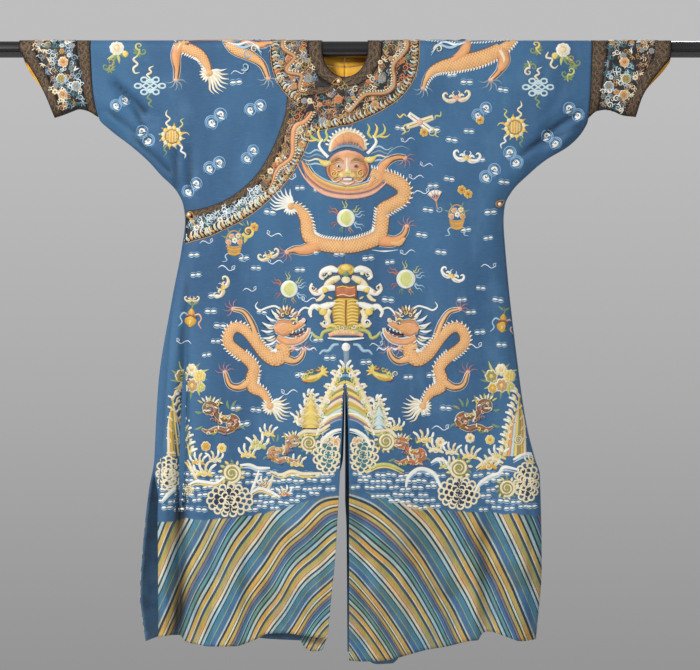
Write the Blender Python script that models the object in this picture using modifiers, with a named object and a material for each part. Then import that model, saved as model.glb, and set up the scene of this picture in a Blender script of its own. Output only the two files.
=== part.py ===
"""A side-fastening Chinese dragon robe, hung by its sleeves on a plain rod.

+X is the wearer's left, -Y is the front and +Z is up. The origin is on the rod's axis, above the
centre seam. Sizes below are in millimetres, and MM turns them into Blender's metres.

Each half of the robe is one length of silk that runs from its back hem over the rod to its front
hem, with the upper sleeve in it. A sheet of cloth is a grid of lines, which run down it, and rows,
which run across it. A row is a face and a step: BACK or FRONT and a height or a place in a table,
or TURN and an angle round the rod. drape() hangs a point of such a sheet.
"""

import math
from collections import namedtuple

import bmesh
import bpy
from mathutils import Vector

MM = 0.001
FRONT, TURN, BACK = -1, 0, 1  # the side of the robe's middle plane that each face lies on

# Driving sizes
ROD_RADIUS = 18.0
ROD_HALF_LENGTH = 800.0
ROD_SIDES = 28
ROD_CHAMFER = 1.5
ROD_CLEARANCE = 0.7
CLOTH = 1.6  # silk, lining and the needlework between them
SEAM_GAP = 0.3
HALF_GAP = SEAM_GAP / 2
TOP_RADIUS = ROD_RADIUS + ROD_CLEARANCE + CLOTH  # outer face of the cloth over the rod
TURN_STEPS = 4  # rows in each quarter turn
HEM = -1300.0
HEM_SHAPED_FROM = -1080.0  # the hem's waves die out at this height
SLIT_TOP = -742.0
FRONT_ROWS_APART = 51.0
BACK_ROWS_APART = 66.0
CLOSEST_ROWS = 12.0

# How far the faces stand from the robe's middle plane
SIDE_ROUNDING = 38.0  # distance over which a side closes
SEAM_DEPTH = 1.8  # front or back face at a sewn side seam
FLAP_EDGE_DEPTH = 5.6  # the overlap's face above the side seam that it covers
HEM_SWELL = 6.0  # extra depth at the hem
SWELL_FROM = -450.0
TUCK = 2.4  # how far the inner front hangs behind the overlap, at the collar
TUCKED_AT = -50.0
DEEP_TUCK = 16.0  # the same, at the skirt
TUCK_DEEPENS_FROM = -400.0
DEEP_TUCK_AT = -660.0
VENT_TOP = -925.0
VENT_SPREAD = 7.0

# Collar
NECK_HALF_WIDTH = 50.0
NECK_DROP_FRONT = 62.0
NECK_DROP_BACK = 14.0
NECK_BINDING_SIDE = 32.0
NECK_BINDING_FOOT = 24.0
FLAP_BINDING = 19.0

# Cuffs, as shares of the way from the sleeve seam to the opening
CUFF_INNER_TRIM = 0.20
CUFF_OUTER_TRIM = 0.78
CUFF_ROWS = (0.16, 0.34, 0.54, 0.72, 0.86, 0.95, 1.0)
BACK_CUFF_PROUD = 9.0  # the back half of a cuff shows past the front half by up to this much
BACK_CUFF_PROUD_AT = -48.0
BACK_CUFF_PROUD_OVER = 34.0

# Fastenings
BALL_RADIUS = 4.6
CORD_RADIUS = 1.2
LOOP_RADIUS = 6.4
LOOP_POINTS = 14
LOOP_TAIL = 1.3  # how much further the loop reaches on its tail's side, in radii
LOOP_GAP = 0.7
BALL_GAP = 0.3

# Lines down each sheet, as shares of the way across it
BODY_LINES = (0.0, 0.15, 0.3, 0.43, 0.54, 0.63, 0.685, 0.73, 0.8, 0.88, 0.95, 1.0)
FLAP_FOLD_LINES = (0.68, 0.8, 0.835, 0.9, 0.935, 0.97)
FLAP_ROWS = 28
BAND_LINES = (0.0, 0.33, 0.67, 1.0)
TRIM_LINES = (0.0, 0.5, 1.0)

Edge = namedtuple("Edge", "z x")  # a point of an outline: its height and its distance from centre
Hem = namedtuple("Hem", "x drop")  # how far the hem hangs below HEM at this place
Cross = namedtuple("Cross", "top_x top_z low_x low_z")  # a line across the overlap's curved band
Foot = namedtuple("Foot", "share z")  # lowest edge of a cuff, at a share of its width
Fold = namedtuple("Fold", "x_high z_high x_low z_low half_width depth")  # depth below 0: a ridge
Fastening = namedtuple("Fastening", "name half x z tail_x tail_z")  # tail: where its loop points
Half = namedtuple("Half", "sign front back")  # a half's side of the centre and its faces' depths
Panel = namedtuple("Panel", "slit side hem")  # the outlines of half of a face

# Side outlines, from the sleeve seam past the armpit to the hem
LEFT_SIDE = (
    Edge(0, 543), Edge(-153, 537), Edge(-179, 526), Edge(-212, 496), Edge(-245, 442),
    Edge(-278, 403), Edge(-311, 370), Edge(-344, 353), Edge(-377, 350), Edge(-443, 354),
    Edge(-740, 387), Edge(-839, 403), Edge(-905, 420), Edge(-938, 430), Edge(-1136, 434),
    Edge(HEM, 421),
)
RIGHT_SIDE = (
    Edge(0, 560), Edge(-80, 556), Edge(-153, 543), Edge(-179, 517), Edge(-212, 474),
    Edge(-245, 436), Edge(-278, 406), Edge(-311, 373), Edge(-344, 357), Edge(-377, 353),
    Edge(-443, 361), Edge(-542, 380), Edge(-740, 412), Edge(-905, 421), Edge(-971, 433),
    Edge(-1103, 447), Edge(-1202, 453), Edge(HEM, 441),
)
INNER_FRONT_SIDE = tuple(edge for edge in RIGHT_SIDE if edge.z > VENT_TOP) + (
    Edge(VENT_TOP, 422), Edge(-985, 412), Edge(-1100, 404), Edge(HEM, 401),
)
FLAP_SIDE = (
    Edge(-428, 353), Edge(-465, 363), Edge(-531, 376), Edge(-641, 387), Edge(-765, 395),
    Edge(-859, 400), Edge(-919, 406), Edge(-1028, 412), Edge(-1125, 411), Edge(HEM, 410),
)

# Inner edges: down the centre seam, then the sides of the slit
LEFT_FRONT_SLIT = (Edge(SLIT_TOP, 0), Edge(-840, 0), Edge(-1004, 2), Edge(-1200, 5), Edge(HEM, 8))
LEFT_BACK_SLIT = (Edge(SLIT_TOP, 0), Edge(-900, -1), Edge(HEM, -3))
RIGHT_BACK_SLIT = (Edge(SLIT_TOP, 0), Edge(-940, 14), Edge(-1125, 28), Edge(HEM, 46))
INNER_FRONT_EDGE = (Edge(-172, 4), Edge(SLIT_TOP, 14), Edge(-1125, 27), Edge(HEM, 41))
FLAP_SLIT = (
    Edge(SLIT_TOP, 0), Edge(-861, 5), Edge(-940, 11), Edge(-1046, 17), Edge(-1125, 22),
    Edge(-1231, 32), Edge(HEM, 38),
)

# Hems
LEFT_FRONT_HEM = (
    Hem(8, 46), Hem(40, 48), Hem(85, 46), Hem(140, 33), Hem(176, 24), Hem(229, 15),
    Hem(282, 2), Hem(294, 1), Hem(302, -14), Hem(318, -16), Hem(352, -7), Hem(387, 3), Hem(421, 1),
)
LEFT_BACK_HEM = (Hem(-3, 30), Hem(30, 38), Hem(70, 60), Hem(105, 58), Hem(130, 34), Hem(421, 0))
RIGHT_BACK_HEM = (Hem(46, 10), Hem(150, 4), Hem(300, -6), Hem(400, -4), Hem(441, 6))
INNER_FRONT_HEM = (Hem(41, 0), Hem(52, 26), Hem(70, 28), Hem(86, 22), Hem(110, -12), Hem(401, -14))
FLAP_HEM = (
    Hem(38, -3), Hem(88, -8), Hem(134, -14), Hem(170, -12), Hem(205, 4), Hem(240, 14),
    Hem(293, 15), Hem(330, 9), Hem(350, 5), Hem(366, -9), Hem(398, -8), Hem(410, -4),
)

# The collar's outer outline, from the shoulder to the centre, the same in front and behind
YOKE = (
    Edge(0, 166), Edge(-28, 164), Edge(-54, 159), Edge(-80, 147), Edge(-104, 128),
    Edge(-126, 101), Edge(-143, 70), Edge(-156, 42), Edge(-165, 18), Edge(-171, 0),
)

# The overlap's curved band, from the neck's centre to the armpit: its free edge and its lower edge
FLAP_BAND = (
    Cross(0, -63, 0, -171), Cross(21, -69, 15, -173), Cross(34, -82, 27, -176), Cross(60, -84, 42, -179),
    Cross(92, -86, 60, -184), Cross(125, -100, 75, -199), Cross(131, -140, 86, -220),
    Cross(142, -175, 95, -239), Cross(155, -209, 106, -259), Cross(173, -244, 123, -283),
    Cross(194, -276, 143, -307), Cross(225, -307, 174, -338), Cross(260, -331, 216, -370),
    Cross(295, -346, 262, -395), Cross(326, -354, 306, -415), Cross(336, -355, 325, -420),
    Cross(344, -356, 341, -425), Cross(350, -357, 353, -428),
)

# Cuff outlines
LEFT_CUFF_MOUTH = (
    Edge(0, 719), Edge(-19, 717), Edge(-39, 702), Edge(-58, 686), Edge(-89, 664), Edge(-113, 652),
    Edge(-149, 642),
)
LEFT_CUFF_FOOT = (
    Foot(0, -152), Foot(0.17, -136), Foot(0.36, -133), Foot(0.46, -135), Foot(0.74, -146),
    Foot(1, -149),
)
RIGHT_CUFF_MOUTH = (
    Edge(0, 718), Edge(-18, 708), Edge(-69, 677), Edge(-107, 658), Edge(-151, 641),
)
RIGHT_CUFF_FOOT = (
    Foot(0, -150), Foot(0.23, -135), Foot(0.39, -132), Foot(0.55, -137), Foot(0.85, -147),
    Foot(1, -151),
)

# The largest folds of each face. Places are distances from the centre, on that face's own side
LEFT_FRONT_FOLDS = (
    Fold(560, -95, 440, -215, 15, 7), Fold(520, -140, 470, -235, 13, -5),
    Fold(318, -1000, 309, -1330, 15, 15), Fold(292, -980, 288, -1330, 13, -7),
    Fold(180, -760, 205, -1330, 52, 8), Fold(90, -800, 95, -1330, 40, -6),
    Fold(372, -900, 385, -1330, 26, -6),
)
INNER_FRONT_FOLDS = (
    Fold(520, -60, 430, -160, 17, 5), Fold(420, -150, 395, -300, 15, 3),
    Fold(355, -200, 345, -320, 14, 2), Fold(470, -110, 400, -210, 22, -4),
)
FLAP_FOLDS = (
    Fold(343, -560, 368, -1330, 13, 11), Fold(312, -620, 318, -1330, 24, -5),
    Fold(392, -700, 396, -1330, 11, -4), Fold(240, -820, 262, -1330, 40, -6),
    Fold(150, -860, 165, -1330, 44, 7), Fold(80, -900, 85, -1330, 32, -5),
)
BACK_FOLDS = (
    Fold(330, -640, 352, -1330, 20, 10), Fold(235, -760, 250, -1330, 38, -7),
    Fold(140, -820, 152, -1330, 42, 8), Fold(480, -90, 400, -230, 18, 3),
    Fold(395, -880, 405, -1330, 16, -5),
)
FOLD_FADE = 0.42  # share of its length over which a fold reaches full depth


def mixed(a, b, t):
    return a + (b - a) * t


def smoothed(t):
    t = min(max(t, 0.0), 1.0)
    return t * t * (3 - 2 * t)


def below(z, high, low):
    """0 above the high height and 1 below the low one, with a smooth change between them."""
    return smoothed((high - z) / (high - low))


def along(table, at):
    """The second column of a table at a value of its first, which may rise or fall."""
    rows = table if table[0][0] <= table[-1][0] else table[::-1]
    if at <= rows[0][0]:
        return rows[0][1]
    for low, high in zip(rows, rows[1:]):
        if at <= high[0]:
            return mixed(low[1], high[1], (at - low[0]) / (high[0] - low[0]))
    return rows[-1][1]


def grown(outline, by):
    """A collar outline moved outwards. It runs from its widest place to its lowest."""
    widest, lowest = outline[0].x, -outline[-1].z
    return [Edge(z * (1 + by / lowest), x * (1 + by / widest)) for z, x in outline]


def oval(half_width, drop):
    """A quarter of an oval outline with as many points as the collar's outer outline."""
    quarter = math.pi / 2
    turns = [k / (len(YOKE) - 1) * quarter for k in range(len(YOKE))]
    return [Edge(-drop * math.sin(turn), half_width * math.cos(turn)) for turn in turns]


def heights(collar_edge, side, most_apart):
    """Heights from just below the rod's axis to the hem: all of the collar edge's, those of the
    side that aren't close to them, and more wherever two are too far apart."""
    kept = [edge.z for edge in collar_edge]
    kept += [edge.z for edge in side if min(abs(edge.z - z) for z in kept) > CLOSEST_ROWS]
    kept.sort(reverse=True)
    chosen = []
    for high, low in zip(kept, kept[1:]):
        more = math.ceil((high - low) / most_apart)
        chosen += [mixed(high, low, k / more) for k in range(1, more + 1)]
    return chosen


def rows_over_rod(back_steps, front_steps):
    """Rows from the back's last step, over the rod, to the front's last step."""
    quarter = math.pi / 2
    turn = [(TURN, k / TURN_STEPS * quarter) for k in range(-TURN_STEPS, TURN_STEPS + 1)]
    return [(BACK, step) for step in reversed(back_steps)] + turn + [(FRONT, step) for step in front_steps]


def towards_left(half, shares):
    """Lines across a half of the robe, in the order that runs towards +X."""
    return shares if half.sign > 0 else shares[::-1]


def distance_to(x, z, start, end):
    """The distance to a straight run, and the share of the run at which it is nearest."""
    run_x, run_z = end[0] - start[0], end[1] - start[1]
    t = ((x - start[0]) * run_x + (z - start[1]) * run_z) / (run_x * run_x + run_z * run_z)
    t = min(max(t, 0.0), 1.0)
    return math.hypot(x - start[0] - t * run_x, z - start[1] - t * run_z), t


def closing_line(mouth, foot, side):
    """Where front and back are sewn together: under the cuff, under the arm and down the side."""
    outer, inner = mouth[-1].x, along(side, foot[0].z)
    cuff = [(mixed(inner, outer, point.share), point.z) for point in reversed(foot)]
    return cuff + [(edge.x, edge.z) for edge in side if edge.z < foot[0].z - 1]


LEFT_CLOSING = closing_line(LEFT_CUFF_MOUTH, LEFT_CUFF_FOOT, LEFT_SIDE)
RIGHT_CLOSING = closing_line(RIGHT_CUFF_MOUTH, RIGHT_CUFF_FOOT, RIGHT_SIDE)


def rounded_off(edge_depth, full_depth, x, z, closing):
    """A depth that falls to edge_depth where front and back are sewn together."""
    nearest = min(distance_to(x, z, a, b)[0] for a, b in zip(closing, closing[1:]))
    short = max(1 - nearest / SIDE_ROUNDING, 0.0)
    return mixed(full_depth, edge_depth, short * short)


def hanging_depth(x, z, folds):
    """A face's depth away from its seams: the rod's, with the swell of the hem and the folds."""
    depth = TOP_RADIUS + HEM_SWELL * below(z, SWELL_FROM, HEM)
    for fold in folds:
        across, t = distance_to(x, z, (fold.x_high, fold.z_high), (fold.x_low, fold.z_low))
        depth -= fold.depth * smoothed(t / FOLD_FADE) * math.exp(-((across / fold.half_width) ** 2))
    return depth


def vent_spread(z):
    """The free edges below the side vents stand apart more and more."""
    return VENT_SPREAD * below(z, VENT_TOP, HEM)


def tuck(z):
    """How far the inner front hangs behind the overlap that covers it."""
    return TUCK * min(z / TUCKED_AT, 1.0) + (DEEP_TUCK - TUCK) * below(z, TUCK_DEEPENS_FROM, DEEP_TUCK_AT)


def left_front_depth(x, z):
    full = hanging_depth(x, z, LEFT_FRONT_FOLDS)
    return rounded_off(SEAM_DEPTH + vent_spread(z), full, x, z, LEFT_CLOSING)


def left_back_depth(x, z):
    return rounded_off(SEAM_DEPTH, hanging_depth(x, z, BACK_FOLDS), x, z, LEFT_CLOSING)


def inner_front_depth(x, z):
    full = hanging_depth(x, z, INNER_FRONT_FOLDS) - tuck(z)
    return rounded_off(SEAM_DEPTH + vent_spread(z) / 2, full, x, z, RIGHT_CLOSING)


def flap_depth(x, z):
    full = hanging_depth(x, z, FLAP_FOLDS)
    return rounded_off(FLAP_EDGE_DEPTH + vent_spread(z), full, x, z, RIGHT_CLOSING)


def right_back_depth(x, z):
    return rounded_off(SEAM_DEPTH, hanging_depth(x, z, BACK_FOLDS), x, z, RIGHT_CLOSING)


LEFT = Half(1, left_front_depth, left_back_depth)
RIGHT = Half(-1, inner_front_depth, right_back_depth)
FLAP = Half(-1, flap_depth, right_back_depth)

FASTENINGS = (
    Fastening("neck", FLAP, 14, -72, 1, -0.35),
    Fastening("right_underarm", FLAP, 341, -365, -0.7, -0.7),
    Fastening("left_underarm", LEFT, 338, -342, 0.8, 0.6),
)


def drape(half, face, x, at):
    """A point of the cloth, x from the centre: at an angle round the rod, or at a height."""
    if face == TURN:
        return Vector((half.sign * x, -TOP_RADIUS * math.sin(at), TOP_RADIUS * math.cos(at)))
    depth = half.front(x, at) if face == FRONT else half.back(x, at)
    return Vector((half.sign * x, face * depth, at))


def material(name, colour, roughness, metallic=0.0):
    made = bpy.data.materials.new(name)
    made.use_nodes = True
    shader = made.node_tree.nodes["Principled BSDF"]
    shader.inputs["Base Color"].default_value = (*colour, 1)
    shader.inputs["Roughness"].default_value = roughness
    shader.inputs["Metallic"].default_value = metallic
    return made


def show(name, data, finish):
    thing = bpy.data.objects.new(name, data)
    data.materials.append(finish)
    ROBE.objects.link(thing)
    return thing


def mesh_of(name, made):
    """The mesh of a finished bmesh, which is freed."""
    mesh = bpy.data.meshes.new(name)
    made.to_mesh(mesh)
    made.free()
    return mesh


def sheet(name, lines, rows, place, finish):
    """A wall of cloth. The points of its outer face go where place(line, row) says, and the
    wall's thickness is added behind them. Lines run towards +X, rows from back to front."""
    grid = bmesh.new()
    across, down = len(lines) - 1, len(rows) - 1
    bmesh.ops.create_grid(grid, x_segments=across, y_segments=down, size=0.5)
    for point in grid.verts:
        line = lines[round((point.co.x + 0.5) * across)]
        row = rows[round((0.5 - point.co.y) * down)]
        point.co = place(line, row) * MM
    thing = show(name, mesh_of(name, grid), finish)
    wall = thing.modifiers.new("wall", "SOLIDIFY")
    wall.thickness = CLOTH * MM
    wall.offset = -1
    return thing


def hemmed(z, drop):
    """A height moved down with the hem's outline, by all of the drop at the hem itself."""
    return z - drop * below(z, HEM_SHAPED_FROM, HEM)


def body(name, half, back, front, cuff_foot, finish):
    """Half of the robe in one length: back, sleeve and front, with the collar's place cut out."""
    collar_edge = grown(YOKE, HALF_GAP)

    def place(share, row):
        face, at = row
        panel = front if face == FRONT else back
        z = 0.0 if face == TURN else at
        on_collar = z >= collar_edge[-1].z
        inner = along(collar_edge, z) if on_collar else along(panel.slit, z) + HALF_GAP
        on_cuff = z > cuff_foot[0].z
        x = mixed(max(inner, HALF_GAP), along(panel.side, z) - (HALF_GAP if on_cuff else 0), share)
        return drape(half, face, x, at if face == TURN else hemmed(z, along(panel.hem, x)))

    rows = rows_over_rod(
        heights(collar_edge, back.side, BACK_ROWS_APART),
        heights(collar_edge, front.side, FRONT_ROWS_APART),
    )
    return sheet(name, towards_left(half, BODY_LINES), rows, place, finish)


def overlap(name, finish):
    """The outer front that crosses to the wearer's right, below its curved band."""
    top = [(cross.low_x, cross.low_z) for cross in FLAP_BAND]
    widest = top[-1][0]
    shares = sorted({x / widest for x, z in top} | set(FLAP_FOLD_LINES))

    def place(share, down):
        z = mixed(along(top, share * widest), HEM, down)
        x = mixed(along(FLAP_SLIT, z) + HALF_GAP, along(FLAP_SIDE, z), share)
        return drape(FLAP, FRONT, x, hemmed(z, along(FLAP_HEM, x)))

    return sheet(name, shares[::-1], [k / FLAP_ROWS for k in range(FLAP_ROWS + 1)], place, finish)


def curved_band(name, start, end, lines, finish):
    """A strip along the overlap's curved edge, with the band's crosses as its lines. start is its
    distance from the free edge, and so is end, or the strip runs to the overlap if end is None."""

    def place(cross, share):
        top, low = Vector((cross.top_x, cross.top_z)), Vector((cross.low_x, cross.low_z))
        width = (low - top).length
        far = width - SEAM_GAP if end is None else end
        x, z = top.lerp(low, mixed(start, far, share) / width)
        return drape(FLAP, FRONT, x + HALF_GAP, z)

    return sheet(name, FLAP_BAND[::-1], lines, place, finish)


def collar_ring(name, half, inner, outer, lines, finish):
    """Half of a ring round the neck, from the back's centre over the shoulder to the front's.
    inner and outer are pairs of (back, front) outlines, with the same number of points."""

    def place(share, row):
        face, step = row
        k = 0 if face == TURN else step
        near, far = inner[face == FRONT][k], outer[face == FRONT][k]
        x = max(mixed(near.x, far.x, share), HALF_GAP)
        return drape(half, face, x, step if face == TURN else mixed(near.z, far.z, share))

    steps = range(1, len(YOKE))
    return sheet(name, towards_left(half, lines), rows_over_rod(steps, steps), place, finish)


def cuff_strip(name, half, side, mouth, foot, start, end, lines, finish):
    """A strip round a cuff, between two shares of the way from the sleeve seam to the opening."""

    def place(line, row):
        face, at = row
        down = 0.0 if face == TURN else at
        share = mixed(start, end, line)
        z = down * along(foot, share)
        opening = along(mouth, z)
        if face == BACK:
            rise = (z - BACK_CUFF_PROUD_AT) / BACK_CUFF_PROUD_OVER
            opening += BACK_CUFF_PROUD * math.exp(-rise * rise)
        x = mixed(along(side, z), opening, share) + mixed(HALF_GAP, -HALF_GAP, line)
        return drape(half, face, x, at if face == TURN else z)

    rows = rows_over_rod(CUFF_ROWS, CUFF_ROWS)
    return sheet(name, towards_left(half, lines), rows, place, finish)


def cuff(which, half, side, mouth, foot, silk, trim):
    outline = (half, side, mouth, foot)
    cuff_strip("cuff_" + which + "_inner_trim", *outline, 0, CUFF_INNER_TRIM, TRIM_LINES, trim)
    cuff_strip("cuff_" + which, *outline, CUFF_INNER_TRIM, CUFF_OUTER_TRIM, BAND_LINES, silk)
    cuff_strip("cuff_" + which + "_outer_trim", *outline, CUFF_OUTER_TRIM, 1, TRIM_LINES, trim)


def collar(black, trim):
    """The black yoke and the brocade binding of the neck, in halves that meet on the centre."""
    neck = [oval(NECK_HALF_WIDTH, drop) for drop in (NECK_DROP_BACK, NECK_DROP_FRONT)]
    bound = [
        oval(NECK_HALF_WIDTH + NECK_BINDING_SIDE, drop + NECK_BINDING_FOOT)
        for drop in (NECK_DROP_BACK, NECK_DROP_FRONT)
    ]
    binding_edge = [grown(outline, -HALF_GAP) for outline in bound]
    yoke_inner = [grown(outline, HALF_GAP) for outline in bound]
    yoke_outer = [grown(YOKE, -HALF_GAP)] * 2
    for which, half in (("left", LEFT), ("right", RIGHT)):
        collar_ring("neck_binding_" + which, half, neck, binding_edge, TRIM_LINES, trim)
        collar_ring("collar_" + which, half, yoke_inner, yoke_outer, BAND_LINES, black)


def rod(name, finish):
    shape = bmesh.new()
    bmesh.ops.create_cone(shape, cap_ends=True, segments=ROD_SIDES, radius1=ROD_RADIUS * MM,
                          radius2=ROD_RADIUS * MM, depth=2 * ROD_HALF_LENGTH * MM)
    thing = show(name, mesh_of(name, shape), finish)
    thing.rotation_euler = (0, math.pi / 2, 0)
    edge = thing.modifiers.new("chamfer", "BEVEL")
    edge.width = ROD_CHAMFER * MM
    edge.segments = 1
    edge.angle_limit = math.radians(60)
    return thing


def ball(name, place, finish):
    shape = bmesh.new()
    bmesh.ops.create_uvsphere(shape, u_segments=12, v_segments=8, radius=BALL_RADIUS * MM)
    thing = show(name, mesh_of(name, shape), finish)
    thing.location = place * MM
    return thing


def loop(name, points, finish):
    """A closed cord through these points."""
    cord = bpy.data.curves.new(name, "CURVE")
    cord.dimensions = "3D"
    cord.bevel_depth = CORD_RADIUS * MM
    cord.bevel_resolution = 1
    run = cord.splines.new("POLY")
    run.points.add(len(points) - 1)
    for slot, point in zip(run.points, points):
        slot.co = (*(point * MM), 1)
    run.use_cyclic_u = True
    return show(name, cord, finish)


def off_front(half, x, z, lift):
    """A point this far off the front's face."""
    here = drape(half, FRONT, x, z)
    across, up = (drape(half, FRONT, *near) - here for near in ((x + 1, z), (x, z + 1)))
    return here + across.cross(up).normalized() * half.sign * lift


def fasten(fastening, ball_finish, cord_finish):
    """A ball button that stands on the cloth, in a cord loop with its tail drawn out."""
    name, half, x, z, tail_x, tail_z = fastening
    points = []
    for k in range(LOOP_POINTS):
        turn = 2 * math.pi * k / LOOP_POINTS
        stretch = 1 + LOOP_TAIL * max(math.cos(turn), 0.0) ** 3
        ahead, aside = LOOP_RADIUS * stretch * math.cos(turn), LOOP_RADIUS * math.sin(turn)
        at_x = x + ahead * tail_x - aside * tail_z
        at_z = z + ahead * tail_z + aside * tail_x
        points.append(off_front(half, at_x, at_z, CORD_RADIUS + LOOP_GAP))
    loop("loop_" + name, points, cord_finish)
    ball("button_" + name, off_front(half, x, z, BALL_RADIUS + BALL_GAP), ball_finish)


def clear_scene():
    for thing in list(bpy.data.objects):
        bpy.data.objects.remove(thing, do_unlink=True)


clear_scene()
ROBE = bpy.data.collections.new("dragon_robe")
bpy.context.scene.collection.children.link(ROBE)

blue_silk = material("blue_silk", (0.058, 0.155, 0.262), 0.55)
black_silk = material("black_silk", (0.02, 0.02, 0.022), 0.5)
brocade = material("brocade", (0.13, 0.09, 0.06), 0.5)
black_lacquer = material("black_lacquer", (0.02, 0.02, 0.02), 0.3)
coral = material("coral", (0.68, 0.48, 0.38), 0.3)
gold_cord = material("gold_cord", (0.45, 0.27, 0.08), 0.5)

rod("rod", black_lacquer)
body("left_body", LEFT, Panel(LEFT_BACK_SLIT, LEFT_SIDE, LEFT_BACK_HEM),
     Panel(LEFT_FRONT_SLIT, LEFT_SIDE, LEFT_FRONT_HEM), LEFT_CUFF_FOOT, blue_silk)
body("right_body", RIGHT, Panel(RIGHT_BACK_SLIT, RIGHT_SIDE, RIGHT_BACK_HEM),
     Panel(INNER_FRONT_EDGE, INNER_FRONT_SIDE, INNER_FRONT_HEM), RIGHT_CUFF_FOOT, blue_silk)
overlap("overlap", blue_silk)
curved_band("overlap_binding", 0, FLAP_BINDING, TRIM_LINES, brocade)
curved_band("overlap_band", FLAP_BINDING + SEAM_GAP, None, BAND_LINES, black_silk)
collar(black_silk, brocade)
cuff("left", LEFT, LEFT_SIDE, LEFT_CUFF_MOUTH, LEFT_CUFF_FOOT, black_silk, brocade)
cuff("right", RIGHT, RIGHT_SIDE, RIGHT_CUFF_MOUTH, RIGHT_CUFF_FOOT, black_silk, brocade)
for fastening in FASTENINGS:
    fasten(fastening, coral, gold_cord)
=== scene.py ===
"""The hung dragon robe: its cloth, needlework, trims, buttons and light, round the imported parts.

Tables are in millimetres, in the parts' own frame: +X is the wearer's left, -Y the front, +Z up.
MM turns them into Blender's metres.
"""

import math
import random

import bmesh
import bpy
import numpy as np
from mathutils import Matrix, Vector


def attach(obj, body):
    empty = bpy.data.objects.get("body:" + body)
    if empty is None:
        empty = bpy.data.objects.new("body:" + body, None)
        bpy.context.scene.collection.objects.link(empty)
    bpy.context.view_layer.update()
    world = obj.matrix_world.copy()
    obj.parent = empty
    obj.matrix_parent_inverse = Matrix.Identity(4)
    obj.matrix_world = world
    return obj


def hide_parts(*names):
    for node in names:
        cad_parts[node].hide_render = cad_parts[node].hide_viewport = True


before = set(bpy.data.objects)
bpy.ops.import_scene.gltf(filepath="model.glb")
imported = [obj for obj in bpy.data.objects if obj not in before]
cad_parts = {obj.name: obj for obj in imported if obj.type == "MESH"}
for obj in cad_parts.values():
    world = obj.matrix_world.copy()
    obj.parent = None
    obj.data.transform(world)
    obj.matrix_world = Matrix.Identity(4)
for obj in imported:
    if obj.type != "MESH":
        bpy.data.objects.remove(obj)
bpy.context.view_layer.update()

MM = 0.001
FRONT, TURN, BACK = -1, 0, 1  # the side of the robe's middle plane that each face lies on
LEFT, RIGHT, FLAP = "left", "right", "flap"
SIGN = {LEFT: 1, RIGHT: -1, FLAP: -1}

# Driving sizes, as in the parts
CLOTH = 1.6
HALF_GAP = 0.15
SEAM_GAP = 0.3
TOP_RADIUS = 20.3
HEM = -1300.0
HEM_SHAPED_FROM = -1080.0
SLIT_TOP = -742.0
SIDE_ROUNDING = 38.0
SEAM_DEPTH = 1.8
FLAP_EDGE_DEPTH = 5.6
HEM_SWELL = 6.0
SWELL_FROM = -450.0
TUCK = 2.4
TUCKED_AT = -50.0
DEEP_TUCK = 16.0
TUCK_DEEPENS_FROM = -400.0
DEEP_TUCK_AT = -660.0
VENT_TOP = -925.0
VENT_SPREAD = 7.0
NECK_HALF_WIDTH = 50.0
NECK_DROP_FRONT = 62.0
NECK_DROP_BACK = 14.0
NECK_BINDING_SIDE = 32.0
NECK_BINDING_FOOT = 24.0
FLAP_BINDING = 19.0
CUFF_INNER_TRIM = 0.20
CUFF_OUTER_TRIM = 0.78
BACK_CUFF_PROUD = 9.0
BACK_CUFF_PROUD_AT = -48.0
BACK_CUFF_PROUD_OVER = 34.0
FOLD_FADE = 0.42
CUT_EXTRA = 0.012  # metres of cloth turned in at the seams and hems
CUT_SHARE = 1.04
PATTERN_RUN = 100.0  # millimetres of a strip to one unit of its map

# Outlines: (height, distance from the centre). Hems: (distance from the centre, drop below HEM)
LEFT_SIDE = (
    (0, 543), (-153, 537), (-179, 526), (-212, 496), (-245, 442), (-278, 403), (-311, 370),
    (-344, 353), (-377, 350), (-443, 354), (-740, 387), (-839, 403), (-905, 420), (-938, 430),
    (-1136, 434), (HEM, 421))
RIGHT_SIDE = (
    (0, 560), (-80, 556), (-153, 543), (-179, 517), (-212, 474), (-245, 436), (-278, 406),
    (-311, 373), (-344, 357), (-377, 353), (-443, 361), (-542, 380), (-740, 412), (-905, 421),
    (-971, 433), (-1103, 447), (-1202, 453), (HEM, 441))
INNER_FRONT_SIDE = RIGHT_SIDE[:14] + ((VENT_TOP, 422), (-985, 412), (-1100, 404), (HEM, 401))
FLAP_SIDE = (
    (-428, 353), (-465, 363), (-531, 376), (-641, 387), (-765, 395), (-859, 400), (-919, 406),
    (-1028, 412), (-1125, 411), (HEM, 410))
LEFT_FRONT_SLIT = ((SLIT_TOP, 0), (-775, 4), (-840, 7), (-1004, 9), (-1200, 9), (HEM, 9))
LEFT_BACK_SLIT = ((SLIT_TOP, 0), (-900, -3), (-960, -2), (-1060, 3), (HEM, 5))
RIGHT_BACK_SLIT = ((SLIT_TOP, 0), (-900, 4), (-950, 14), (-1125, 28), (HEM, 46))
INNER_FRONT_EDGE = ((-172, 4), (SLIT_TOP, 14), (-1125, 27), (HEM, 41))
FLAP_SLIT = (
    (SLIT_TOP, 0), (-775, 3), (-861, 7), (-940, 11), (-1046, 17), (-1125, 22), (-1231, 32),
    (HEM, 38))
LEFT_FRONT_HEM = (
    (8, 46), (40, 48), (85, 46), (140, 33), (176, 24), (229, 15), (282, 2), (294, 1), (302, -14),
    (318, -16), (352, -7), (387, 3), (421, 1))
LEFT_BACK_HEM = (
    (-3, 30), (30, 38), (70, 60), (105, 58), (130, 34), (200, 14), (275, -6), (318, -24),
    (352, -16), (421, -8))
RIGHT_BACK_HEM = (
    (46, 10), (150, 4), (300, -6), (400, -4), (441, 6))
INNER_FRONT_HEM = ((41, 0), (52, 26), (70, 28), (86, 22), (110, -12), (401, -14))
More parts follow.
